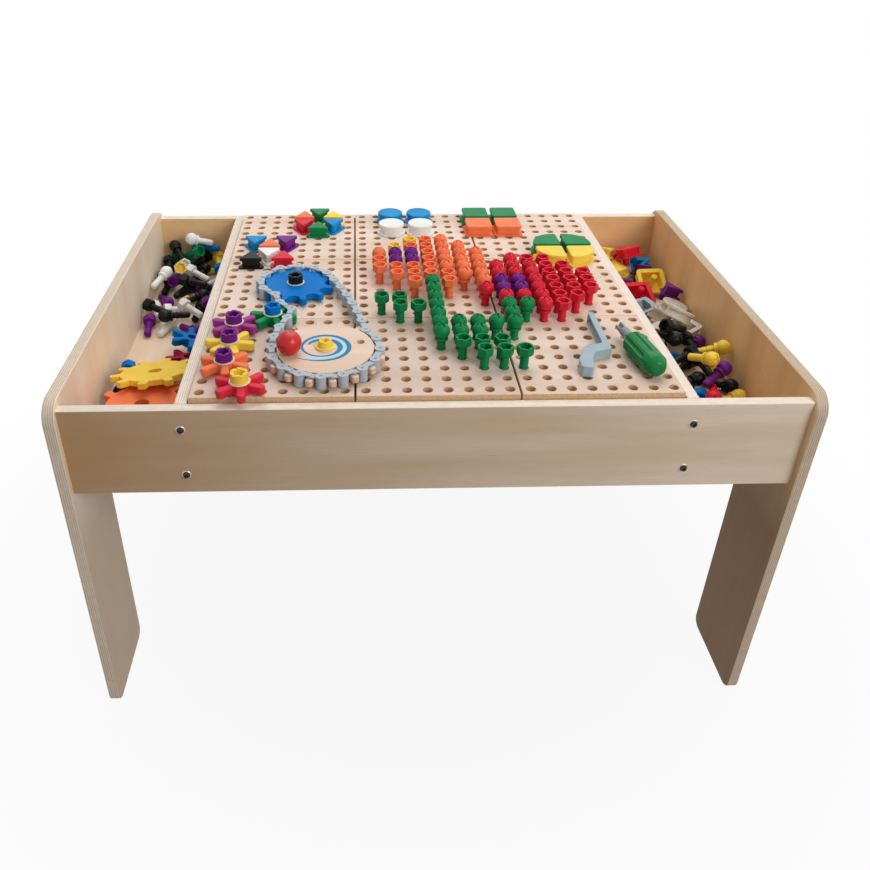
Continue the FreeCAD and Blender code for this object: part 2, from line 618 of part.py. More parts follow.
def slack_span(start, finish, links):
    """Pins between two chain pins, on the arc that the links take up when the span is a little slack."""
    chord = finish - start
    span = chord.Length
    low, high = 1e-6, math.pi / links
    for _ in range(60):
        half = (low + high) / 2
        reach = LINK_PITCH * math.sin(links * half) / math.sin(half)
        low, high = (half, high) if reach > span else (low, half)
    pins, heading = [], math.atan2(chord.y, chord.x) + (links - 1) * low
    here = Vector(start)
    for k in range(links - 1):
        here = here + Vector(math.cos(heading), math.sin(heading), 0) * LINK_PITCH
        heading -= 2 * low
        pins.append(here)
    return pins


def chain_pins():
    """Pins of the closed chain: round the crank gear, past the green flower and round the blue gear."""
    crank, blue = hole_place(CRANK_HOLE), hole_place(BLUE_HOLE)
    green = hole_place(FLOWERS["green"][0])
    on_crank = [polar(crank, CRANK_RADIUS, CRANK_FIRST_PIN - 360.0 * k / CRANK_TEETH) for k in range(11)]
    on_green = [polar(green, FLOWER_RADIUS, GREEN_FIRST_PIN + 360.0 * k / PETALS) for k in range(2)]
    on_blue = [polar(blue, BLUE_RADIUS, BLUE_FIRST_PIN - 360.0 * k / BLUE_TEETH) for k in range(8)]
    pins = on_crank + slack_span(on_crank[-1], on_green[0], 3) + on_green
    pins += slack_span(on_green[-1], on_blue[0], 2) + on_blue
    return pins + slack_span(on_blue[-1], on_crank[0], 7)


def chain_links():
    """Offset links: each has a barrel and a foot plate at one pin and an eye over the next link's pin."""
    step = LINK_BASE + LINK_PLATE + LINK_STEP
    peak = step + LINK_PLATE
    middle = LINK_PITCH / 2
    half = LINK_STRAP / 2
    body = fused([
        post(BARREL_RADIUS, BARREL_BOTTOM, LINK_BASE), post(LINK_FOOT, LINK_BASE, LINK_BASE + LINK_PLATE),
        box((0, -half, LINK_BASE), (middle + LINK_PLATE, half, LINK_BASE + LINK_PLATE)),
        box((middle - LINK_PLATE, -half, LINK_BASE), (middle + LINK_PLATE, half, peak)),
        box((middle - LINK_PLATE, -half, step), (LINK_PITCH, half, peak)),
        post(LINK_EYE, step, peak, LINK_PITCH), post(LINK_PIN, LINK_BASE, peak)])
    eye = post(LINK_PIN + LINK_PIN_PLAY, step - 0.1, peak + 1, LINK_PITCH)
    link = body.cut([eye, post(LINK_PIN_BORE, peak - LINK_PIN_BORE_DEPTH, peak + 1)])
    pins = chain_pins()
    links = []
    for here, ahead in zip(pins, pins[1:] + pins[:1]):
        turn = math.degrees(math.atan2(ahead.y - here.y, ahead.x - here.x))
        links.append(placed(link, here.x, here.y, TOP, turn))
    return links


def gear_works():
    """Crank gear, knob, blue gear, flowers, hubs and the chain round them."""
    nodes = {"crank_gear": crank_gear(), "crank_knob": crank_knob(), "blue_gear": blue_gear()}
    shape = flower()
    for colour, (hole, turn) in FLOWERS.items():
        spot = hole_place(hole)
        nodes[f"{colour}_flower"] = placed(shape, spot.x, spot.y, TOP, turn)
    nodes.update(hubs_and_washers())
    nodes["chain_links"] = chain_links()
    return nodes


# Play bolts and shape pegs

def shank(rise, ridged):
    """Shank up to the underside of a head: tapered tip, smooth in the peg hole, ridged or smooth above it."""
    low = -STEM_DEPTH + SHANK_TAPER
    outline = [(0, -STEM_DEPTH), (SHANK_TIP, -STEM_DEPTH), (SHANK_RADIUS, low)]
    if not ridged:
        return turned(outline + [(SHANK_RADIUS, rise), (0, rise)])
    ridges = max(1, round(rise / SHANK_RIDGE))
    pitch = rise / ridges
    for k in range(ridges):
        base = k * pitch
        outline += [(SHANK_RADIUS, base + 0.4 * pitch), (SHANK_ROOT, base + 0.55 * pitch),
                    (SHANK_ROOT, base + 0.85 * pitch), (SHANK_RADIUS, base + pitch)]
    return turned(outline + [(0, rise)])


def hex_bolt(ridged=True):
    """Bolt with a six-sided crown head, a socket and a notched rim."""
    low, high = HEX_RISE, HEX_RISE + HEX_HEIGHT
    flat = HEX_CORNER * math.cos(math.pi / 6)
    head = plate(polygon(HEX_CORNER, 6), low, high)
    trim = turned([(0, low), (flat - HEX_CHAMFER, low), (HEX_CORNER, low + 2 * HEX_CHAMFER),
                   (HEX_CORNER, high - HEX_CHAMFER), (flat, high), (0, high)])
    cuts = [plate(polygon(HEX_SOCKET, 6), high - HEX_SOCKET_DEPTH, high + 1)]
    dip, half = high - HEX_NOTCH_DEPTH, HEX_NOTCH / 2
    for k in range(3):
        cuts.append(placed(box((-HEX_CORNER, -half, dip), (HEX_CORNER, half, high + 1)), 0, 0, 0, 60.0 * k))
    return fused([shank(HEX_RISE, ridged), head.common(trim).cut(cuts)])


def ball_bolt(ridged=True):
    """Bolt with a ball head on a collar, slotted crosswise."""
    middle = BALL_RISE + BALL_LIFT
    ball = Part.makeSphere(BALL_RADIUS, Vector(0, 0, middle))
    collar = post(COLLAR_RADIUS, BALL_RISE, BALL_RISE + COLLAR_HEIGHT)
    head = fused([ball, collar])
    peak = middle + BALL_RADIUS
    floor, half = peak - SLOT_DEPTH, SLOT_WIDTH / 2
    slots = []
    for turn in (0, 90):
        slot = box((-BALL_RADIUS, -half, floor), (BALL_RADIUS, half, peak + 1))
        slots.append(placed(slot, 0, 0, 0, turn))
    return fused([shank(BALL_RISE, ridged), head.cut(slots)])


def peg_outline(shape, grow):
    """Outline of a shape peg, grown outwards or drawn in."""
    if shape == "round":
        return Part.Wire(Part.makeCircle(PEG_SIDE / 2 + grow))
    if shape == "triangle":
        height = TRIANGLE_SIDE * math.sqrt(3) / 2
        base = -height / 2 - TRIANGLE_SHIFT - grow
        half = TRIANGLE_SIDE / 2 + grow * math.sqrt(3)
        peak = height / 2 - TRIANGLE_SHIFT + 2 * grow
        round_off = TRIANGLE_CORNER + max(grow, -0.5 * TRIANGLE_CORNER)
        return rounded([(-half, base, round_off), (half, base, round_off), (0, peak, round_off)])
    half = PEG_SIDE / 2 + grow
    soft = PEG_CORNER + max(grow, -0.5 * PEG_CORNER)
    far = QUARTER_ROUND + grow if shape == "quarter" else soft
    return rounded([(-half, -half, soft), (half, -half, soft), (half, half, far), (-half, half, soft)])


def shape_peg(shape):
    """Hollow moulded peg: flange, drawn-in waist and cap, with a pin in the middle."""
    levels = ((FLANGE_SPREAD, RUN, RUN + FLANGE_THICK), (-WAIST_DRAW, RUN, PEG_HEIGHT - CAP_THICK / 2),
              (0.0, PEG_HEIGHT - CAP_THICK, PEG_HEIGHT))
    layers = [plate(peg_outline(shape, grow), low, high) for grow, low, high in levels]
    top_edge = lambda edge: edge.BoundBox.ZMin > PEG_HEIGHT - 0.1
    layers[2] = softened(layers[2], ARRIS, top_edge)
    body = fused(layers)
    hollow = plate(peg_outline(shape, -WAIST_DRAW - PEG_WALL), -1, PEG_HEIGHT - PEG_WALL)
    pin = turned([(0, -STEM_DEPTH), (SHANK_TIP, -STEM_DEPTH), (SHANK_RADIUS, -STEM_DEPTH + SHANK_TAPER),
                  (SHANK_RADIUS, PEG_HEIGHT - 1), (0, PEG_HEIGHT - 1)])
    return fused([body.cut(hollow), pin])


def stand_pieces(prototypes, nodes):
    """Bolts and pegs in the peg holes, added to each colour's group."""
    for kind, table in (("hex", HEX_BOLTS), ("ball", BALL_BOLTS)):
        for colour, columns in table.items():
            for i, rows in columns.items():
                for j in rows:
                    spot = hole_place((i, j))
                    turn = (37 * i + 53 * j) % 360
                    bolt = placed(prototypes[kind], spot.x, spot.y, TOP, turn)
                    nodes.setdefault(f"{colour}_bolts", []).append(bolt)
    for colour, pegs in PEGS.items():
        for shape, hole, quarters in pegs:
            spot = hole_place(hole)
            peg = placed(prototypes[shape], spot.x, spot.y, TOP, 90 * quarters)
            nodes.setdefault(f"{colour}_pegs", []).append(peg)


# Loose pieces in the bins

def loose_gear():
    """Flat toothed gear with a bore, centred on its own middle."""
    half = LOOSE_GEAR_THICK / 2
    disc = post(LOOSE_GEAR_ROOT, -half, half)
    root, side = LOOSE_GEAR_ROOT - LOOSE_TOOTH_SINK, LOOSE_TOOTH / 2
    tooth = rounded([(root, -side, LOOSE_TOOTH_SOFT), (LOOSE_GEAR_TIP, -side, TOOTH_ROUND),
                     (LOOSE_GEAR_TIP, side, TOOTH_ROUND), (root, side, LOOSE_TOOTH_SOFT)])
    block = plate(tooth, -half, half)
    teeth = [placed(block, 0, 0, 0, 360.0 * k / LOOSE_GEAR_TEETH) for k in range(LOOSE_GEAR_TEETH)]
    return fused([disc] + teeth).cut(post(LOOSE_GEAR_BORE, -half - 1, half + 1))


def ring_cover(radii, ball, heights):
    """Balls on rings about the axis, as (point, radius) pairs that wrap a round piece."""
    cover = []
    for height in heights:
        for radius in radii:
            count = max(1, math.ceil(2 * math.pi * radius / ball))
            for k in range(count):
                spot = polar(Vector(), radius, 360.0 * k / count)
                cover.append((Vector(spot.x, spot.y, height), ball))
    return cover


def peg_cover(shape, insets):
    """Balls in two layers over a shape peg, on outlines drawn in from its rim."""
    cover = []
    for grow, height in ((FLANGE_SPREAD, RUN + PEG_BALL - 0.3), (0.0, PEG_HEIGHT - PEG_BALL + 0.3)):
        for inset in insets:
            for point in peg_outline(shape, grow - inset).discretize(Distance=PEG_BALL):
                cover.append((Vector(point.x, point.y, height), PEG_BALL))
    return cover


def covers():
    """Ball covers of the loose pieces, tight enough that covered pieces that touch rest close together."""
    half_gear = LOOSE_GEAR_THICK / 2
    gear_ball = half_gear + 2.0
    rim = LOOSE_GEAR_TIP - half_gear
    stem = [(Vector(0, 0, z - STEM_DEPTH + 4.6), SHANK_RADIUS + 0.3) for z in range(0, 30, 3)]
    high = HEX_RISE + HEX_HEIGHT
    hex_ball = 4.4
    hex_ring = HEX_CORNER - hex_ball + 0.2
    levels = [HEX_RISE + hex_ball - 0.4, (HEX_RISE + high) / 2, high - hex_ball + 0.4]
    flower_ball = (PETAL_TOP - TOOTH_BOTTOM) / 2 + 0.8
    flower_rings = [PETAL_TIP * share for share in (0.15, 0.4, 0.62, 0.84)]
    return {
        "gear": ring_cover([rim * share for share in (0.2, 0.4, 0.6, 0.8, 1.0)], gear_ball, [0]),
        "flower": ring_cover(flower_rings, flower_ball, [(PETAL_TOP + TOOTH_BOTTOM) / 2]),
        "hex": stem + ring_cover([hex_ring], hex_ball, levels),
        "ball": stem + [(Vector(0, 0, BALL_RISE + BALL_LIFT), BALL_RADIUS + 0.1)]
        + ring_cover([COLLAR_RADIUS - 2], 2.2, [BALL_RISE + 1.8]),
        "square": stem + peg_cover("square", PEG_INSETS), "round": stem + peg_cover("round", PEG_INSETS),
        "quarter": stem + peg_cover("quarter", PEG_INSETS),
        "triangle": stem + peg_cover("triangle", PEG_INSETS[:2]),
    }


def resting_height(balls, reach, x, y, heap):
    """Height at which balls let down at x, y meet the floor or the balls of the heap."""
    z = max(FLOOR_TOP + REST + radius - point.z for point, radius in balls)
    for base, span, others in heap:
        if math.hypot(base.x - x, base.y - y) > reach + span:
            continue
        for point, radius in balls:
            for other, wide in others:
                apart = (other.x - x - point.x) ** 2 + (other.y - y - point.y) ** 2
                touch = (radius + wide + REST) ** 2
                if apart < touch:
                    z = max(z, other.z + math.sqrt(touch - apart) - point.z)
    return z


def settle(cover, rotation, x, y, walls, heap):
    """Lowest place that a piece finds at or beside x, y, kept between the walls."""
    balls = [(rotation.multVec(point), radius) for point, radius in cover]
    reach = max(point.Length + radius for point, radius in balls)
    low_x, high_x, low_y, high_y = walls
    low_x, high_x = low_x + max(r - p.x for p, r in balls), high_x - max(r + p.x for p, r in balls)
    low_y, high_y = low_y + max(r - p.y for p, r in balls), high_y - max(r + p.y for p, r in balls)
    spots = []
    for aside, ahead in ((0, 0), (-ROLL, 0), (ROLL, 0), (0, -ROLL), (0, ROLL)):
        spot_x = min(max(x + aside, low_x), high_x)
        spot_y = min(max(y + ahead, low_y), high_y)
        spots.append((resting_height(balls, reach, spot_x, spot_y, heap), spot_x, spot_y))
    z, x, y = min(spots, key=lambda spot: round(spot[0]))
    return Placement(Vector(x, y, z), rotation), reach


def let_down(piece, floor, resting):
    """Lowers a piece by its distance to the floor and the pieces at rest, until it lies on one of them."""
    drop = 0.0
    for _ in range(LET_DOWN_STEPS):
        room = piece.BoundBox
        room.enlarge(3 * REST)
        room.ZMin = FLOOR_TOP
        near = [floor] + [other for other in resting if other.BoundBox.intersect(room)]
        gap = min(piece.distToShape(other)[0] for other in near)
        if REST / 2 < gap < 2 * REST:
            break
        step = gap - REST if gap > REST else -2 * REST
        piece.translate(Vector(0, 0, -step))
        drop += step
    return drop


def loose_pieces(prototypes, nodes):
    """Heaps of loose bolts, pegs and gears in the two bins."""
    wraps = covers()
    smooth = {**prototypes, "hex": hex_bolt(False), "ball": ball_bolt(False)}
    for side, table in ((-1, LEFT_BIN), (1, RIGHT_BIN)):
        low_x, high_x = sorted((side * (INNER + PLY + WALL_ROOM), side * (BIN_OUTER - WALL_ROOM)))
        walls = (low_x, high_x, -INNER + WALL_ROOM, INNER - WALL_ROOM)
        heap, resting = [], []
        for colour, kind, across, along, turn, tilt, roll in table:
            rotation = Rotation(turn, tilt, roll)
            x, y = side * (BIN_OUTER - across), along - INNER
            place, reach = settle(wraps[kind], rotation, x, y, walls, heap)
            stand_in = smooth[kind].copy()
            stand_in.Placement = place
            place.Base.z -= let_down(stand_in, bin_floor(side), resting)
            balls = [(place.multVec(point), radius) for point, radius in wraps[kind]]
            heap.append((place.Base, reach, balls))
            resting.append(stand_in)
            piece = prototypes[kind].copy()
            piece.Placement = place
            group = {"gear": f"loose_{colour}_gear", "flower": f"loose_{colour}_flower",
                     "hex": f"{colour}_bolts", "ball": f"{colour}_bolts"}.get(kind, f"{colour}_pegs")
            nodes.setdefault(group, []).append(piece)


# Tools on the boards

def spanner():
    """Cranked open spanner lying flat on the right-hand boards, its arm hollow on one side."""
    solid = plate(rounded(SPANNER_OUTLINE), RUN, RUN + SPANNER_THICK)
    solid = softened(solid, SPANNER_ROUND, lambda edge: edge.BoundBox.ZMin > RUN + SPANNER_THICK - 0.1)
    far, near = (Vector(*SPANNER_OUTLINE[k][:2], 0) for k in (0, -1))
    along = (near - far).normalize()
    out = Vector(along.y, -along.x, 0)
    far, near = far + along * SPANNER_MARGIN, near - along * SPANNER_MARGIN
    corners = [far + out, far - out * SPANNER_POCKET, near - out * SPANNER_POCKET, near + out]
    pocket = Part.makePolygon(corners + corners[:1])
    solid = solid.cut(plate(pocket, RUN + SPANNER_WALL, RUN + SPANNER_THICK - SPANNER_WALL))
    solid.translate(Vector(0, 0, TOP))
    return solid


def screwdriver():
    """Fluted handle and its blade, lying on the front right board."""
    handle = turned([
        (0, 0), (DRIVER_NECK, 0), (DRIVER_RADIUS, DRIVER_SHOULDER), (DRIVER_RADIUS, DRIVER_LENGTH - DRIVER_END),
        ((DRIVER_RADIUS + DRIVER_END_FACE) / 2, DRIVER_LENGTH - DRIVER_END / 4), (DRIVER_END_FACE, DRIVER_LENGTH),
        (0, DRIVER_LENGTH)])
    cuts = [post(BLADE_RADIUS + BLADE_PLAY, -1, BLADE_SOCKET)]
    last = DRIVER_LENGTH - FLUTE_RUNOUT
    for k in range(FLUTES):
        spot = polar(Vector(), DRIVER_RADIUS + FLUTE_RADIUS - FLUTE_BITE, 360.0 * (k + 0.5) / FLUTES)
        flute = post(FLUTE_RADIUS, -1, last, spot.x, spot.y)
        cuts.append(fused([flute, Part.makeSphere(FLUTE_RADIUS, Vector(spot.x, spot.y, last))]))
    handle = handle.cut(cuts)
    tip, root = -BLADE_LENGTH, BLADE_FIN_LENGTH - BLADE_LENGTH
    reach, half = BLADE_RADIUS - BLADE_FIN_INSET, BLADE_FIN / 2
    blade = fused([
        post(BLADE_RADIUS, root, BLADE_SOCKET - BLADE_PLAY),
        box((-reach, -half, tip), (reach, half, root + 1)), box((-half, -reach, tip), (half, reach, root + 1))])
    neck_at = Vector(*DRIVER_NECK_PLACE, TOP + RUN + DRIVER_RADIUS)
    for shape in (handle, blade):
        shape.Placement = Placement(neck_at, Rotation(Vector(0, 0, 1), Vector(*DRIVER_HEADING)))
    return {"screwdriver_handle": handle, "screwdriver_blade": blade}


def main():
    """Builds every node and writes one file for each."""
    nodes = table_frame()
    nodes.update(peg_boards())
    nodes.update(fasteners())
    nodes.update(gear_works())
    prototypes = {"hex": hex_bolt(), "ball": ball_bolt(), "gear": loose_gear(), "flower": flower()}
    for shape in ("round", "square", "quarter", "triangle"):
        prototypes[shape] = shape_peg(shape)
    toys = {}
    stand_pieces(prototypes, toys)
    loose_pieces(prototypes, toys)
    nodes.update(toys)
    nodes["spanner"] = spanner()
    nodes.update(screwdriver())
    os.makedirs("parts", exist_ok=True)
    for name, shape in nodes.items():
        solids = shape if isinstance(shape, list) else [shape]
        whole = [solid for piece in solids for solid in piece.Solids]
        Part.makeCompound(whole).exportStep(f"parts/{name}.step")
        print(name, len(whole), round(sum(solid.Volume for solid in whole)))


main()
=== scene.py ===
import json
import logging
import math
from dataclasses import dataclass
from enum import Enum

import bmesh
import bpy
from mathutils import Matrix, Vector

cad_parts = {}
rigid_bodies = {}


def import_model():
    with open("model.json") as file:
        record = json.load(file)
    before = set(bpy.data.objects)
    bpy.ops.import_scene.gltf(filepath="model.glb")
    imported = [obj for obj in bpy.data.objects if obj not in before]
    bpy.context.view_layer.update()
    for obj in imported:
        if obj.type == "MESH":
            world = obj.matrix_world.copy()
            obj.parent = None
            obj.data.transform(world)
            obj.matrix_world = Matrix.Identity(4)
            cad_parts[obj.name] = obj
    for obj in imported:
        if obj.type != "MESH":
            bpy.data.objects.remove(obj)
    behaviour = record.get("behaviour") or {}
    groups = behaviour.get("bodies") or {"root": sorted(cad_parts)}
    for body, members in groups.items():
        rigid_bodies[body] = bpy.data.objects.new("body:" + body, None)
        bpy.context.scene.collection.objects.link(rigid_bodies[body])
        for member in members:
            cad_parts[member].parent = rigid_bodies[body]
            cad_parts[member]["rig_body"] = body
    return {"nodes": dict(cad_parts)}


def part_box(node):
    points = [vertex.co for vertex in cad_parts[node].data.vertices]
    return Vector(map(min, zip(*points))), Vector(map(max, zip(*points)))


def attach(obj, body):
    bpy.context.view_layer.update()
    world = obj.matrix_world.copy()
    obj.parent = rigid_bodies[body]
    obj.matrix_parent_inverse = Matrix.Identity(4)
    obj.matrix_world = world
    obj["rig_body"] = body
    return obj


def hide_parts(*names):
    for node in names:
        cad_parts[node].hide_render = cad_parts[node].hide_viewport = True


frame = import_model()

LOG = logging.getLogger("activity_table")
Colour = tuple[float, float, float]
Triple = tuple[float, float, float]
Socket = bpy.types.NodeSocket

PLY = 0.015
HOLE_PITCH = 0.025

# Range that most values of a noise fall in
NOISE_LOW = 0.3
NOISE_HIGH = 0.7

# Mirror part of lacquered wood and of moulded plastic
SATIN = 0.16

# Cycles per metre of the wood's figure, fibres and flecks, along the grain and across it
FIGURE_CYCLES = (2.6, 24.0)
FIBRE_CYCLES = (14.0, 420.0)
FLECK_CYCLES = (45.0, 560.0)

# Share of the thickness in the normal up to which a surface is edge, and from which it is face
EDGE_TO_FACE = (0.55, 0.75)


class Axis(Enum):
    """Axis of the part, by its place in a vector."""

    X = 0
    Y = 1
    Z = 2


def linear(red: int, green: int, blue: int) -> Colour:
    """Scene-linear colour of an 8-bit sRGB colour.

    Args:
        red: Red from 0 to 255.
        green: Green from 0 to 255.
        blue: Blue from 0 to 255.

    Returns:
        The three linear channels.
    """
    channels = []
    for value in (red, green, blue):
        share = value / 255
        channels.append(share / 12.92 if share <= 0.04045 else ((share + 0.055) / 1.055) ** 2.4)
    return tuple(channels)


def shaded(colour: Colour, factor: float) -> Colour:
    """Colour made darker or lighter by a factor."""
    return tuple(min(1.0, channel * factor) for channel in colour)


def even(cycles: float) -> Triple:
    """Scale that is the same along all axes."""
    return (cycles, cycles, cycles)


class NodeGraph:
    """Adds and links the shader nodes of one material or world."""

    def __init__(self, tree: bpy.types.NodeTree) -> None:
        """Starts on a node tree.

        Args:
            tree: Tree of a material or of the world.
        """
        self.tree = tree

    def node(self, kind: str, **settings: object) -> bpy.types.Node:
        """Adds a node.

        Args:
            kind: Type of the node.
            **settings: Attributes to set on it.

        Returns:
            The new node.
        """
        made = self.tree.nodes.new(kind)
        for key, value in settings.items():
            setattr(made, key, value)
        return made

    def first(self, kind: str) -> bpy.types.Node:
        """First node of a type that the tree already has."""
        return next(node for node in self.tree.nodes if node.type == kind)

    def link(self, source: Socket, target: Socket) -> None:
        """Links an output to an input."""
        self.tree.links.new(source, target)

    def feed(self, slot: Socket, value: object) -> None:
        """Links a socket to an input, or sets the input to a number or colour.

        Args:
            slot: Input socket.
            value: Socket, number or colour.
        """
        if isinstance(value, (int, float)):
            slot.default_value = value
        elif isinstance(value, tuple):
            slot.default_value = (*value, 1.0)
        else:
            self.link(value, slot)

    def math(self, operation: str, first: object, second: object = 0.0) -> Socket:
        """Math node on sockets or numbers.

        Args:
            operation: Name of the operation.
            first: Socket or number.
            second: Socket or number.

        Returns:
            Value socket.
        """
        made = self.node("ShaderNodeMath", operation=operation)
        self.feed(made.inputs[0], first)
        self.feed(made.inputs[1], second)
        return made.outputs[0]

    def span(self, value: Socket, low: float, high: float, start: float = 0.0, end: float = 1.0) -> Socket:
        """Value mapped from one range to another and clamped.

        Args:
            value: Value socket.
            low: Value that gives start.
            high: Value that gives end.
            start: Result at low.
            end: Result at high.

        Returns:
            Value socket.
        """
        made = self.node("ShaderNodeMapRange")
        self.link(value, made.inputs["Value"])
        for key, number in (("From Min", low), ("From Max", high), ("To Min", start), ("To Max", end)):
            made.inputs[key].default_value = number
        return made.outputs["Result"]

    def mix(self, share: object, first: object, second: object) -> Socket:
        """Colour mix of sockets or colours.

        Args:
            share: Socket or number from 0 to 1.
            first: Colour or socket.
            second: Colour or socket.

        Returns:
            Colour socket.
        """
        made = self.node("ShaderNodeMix", data_type="RGBA")
        colour_a, colour_b = 6, 7
        self.feed(made.inputs["Factor"], share)
        self.feed(made.inputs[colour_a], first)
        self.feed(made.inputs[colour_b], second)
        return next(slot for slot in made.outputs if slot.type == "RGBA")

    def seen_directly(self) -> Socket:
        """One for rays that show the surroundings: from the camera, off gloss and through glass."""
        path = self.node("ShaderNodeLightPath")
        either = self.math("MAXIMUM", path.outputs["Is Camera Ray"], path.outputs["Is Glossy Ray"])
        return self.math("MAXIMUM", either, path.outputs["Is Transmission Ray"])


class SurfaceGraph(NodeGraph):
    """Node graph of a material with a principled shader and object coordinates."""

    def __init__(self, name: str) -> None:
        """Starts a material.

        Args:
            name: Name of the material.
        """
        self.material = bpy.data.materials.new(name)
        self.material.use_nodes = True
        super().__init__(self.material.node_tree)
        self.shader = self.first("BSDF_PRINCIPLED")
        self.coords = self.node("ShaderNodeTexCoord")

    def scaled(self, scale: Triple, shift: Triple) -> Socket:
        """Object coordinates, stretched and moved.

        Args:
            scale: Factor along each axis.
            shift: Offset along each axis.

        Returns:
            Vector socket.
        """
        mapping = self.node("ShaderNodeMapping")
        mapping.inputs["Scale"].default_value = scale
        mapping.inputs["Location"].default_value = shift
        self.link(self.coords.outputs["Object"], mapping.inputs["Vector"])
        return mapping.outputs["Vector"]

    def noise(self, scale: Triple, detail: float = 2.0, shift: Triple = (0.0, 0.0, 0.0)) -> Socket:
        """Noise on object coordinates.

        Args:
            scale: Cycles per metre along each axis.
            detail: Octaves.
            shift: Offset along each axis.

        Returns:
            Value socket.
        """
        made = self.node("ShaderNodeTexNoise")
        made.inputs["Scale"].default_value = 1.0
        made.inputs["Detail"].default_value = detail
        self.link(self.scaled(scale, shift), made.inputs["Vector"])
        return made.outputs["Fac"]

    def swing(self, noise: Socket, start: float = 0.0, end: float = 1.0) -> Socket:
        """Noise mapped from its usual range to another and clamped.

        Args:
            noise: Noise socket.
            start: Result at the low end.
            end: Result at the high end.

        Returns:
            Value socket.
        """
        return self.span(noise, NOISE_LOW, NOISE_HIGH, start, end)

    def split(self, output: str) -> bpy.types.Node:
        """Separate XYZ node on an output of the texture coordinates."""
        made = self.node("ShaderNodeSeparateXYZ")
        self.link(self.coords.outputs[output], made.inputs[0])
        return made

    def colour(self, value: Socket) -> None:
        """Links the base colour."""
        self.link(value, self.shader.inputs["Base Color"])

    def roughness(self, value: Socket) -> None:
        """Links the roughness."""
        self.link(value, self.shader.inputs["Roughness"])

    def bump(self, height: Socket, strength: float, distance: float) -> None:
        """Gives the shader a bump.

        Args:
            height: Height socket.
            strength: Strength from 0 to 1.
            distance: Depth in metres.
        """
        made = self.node("ShaderNodeBump")
        made.inputs["Strength"].default_value = strength
        made.inputs["Distance"].default_value = distance
        self.link(height, made.inputs["Height"])
        self.link(made.outputs["Normal"], self.shader.inputs["Normal"])


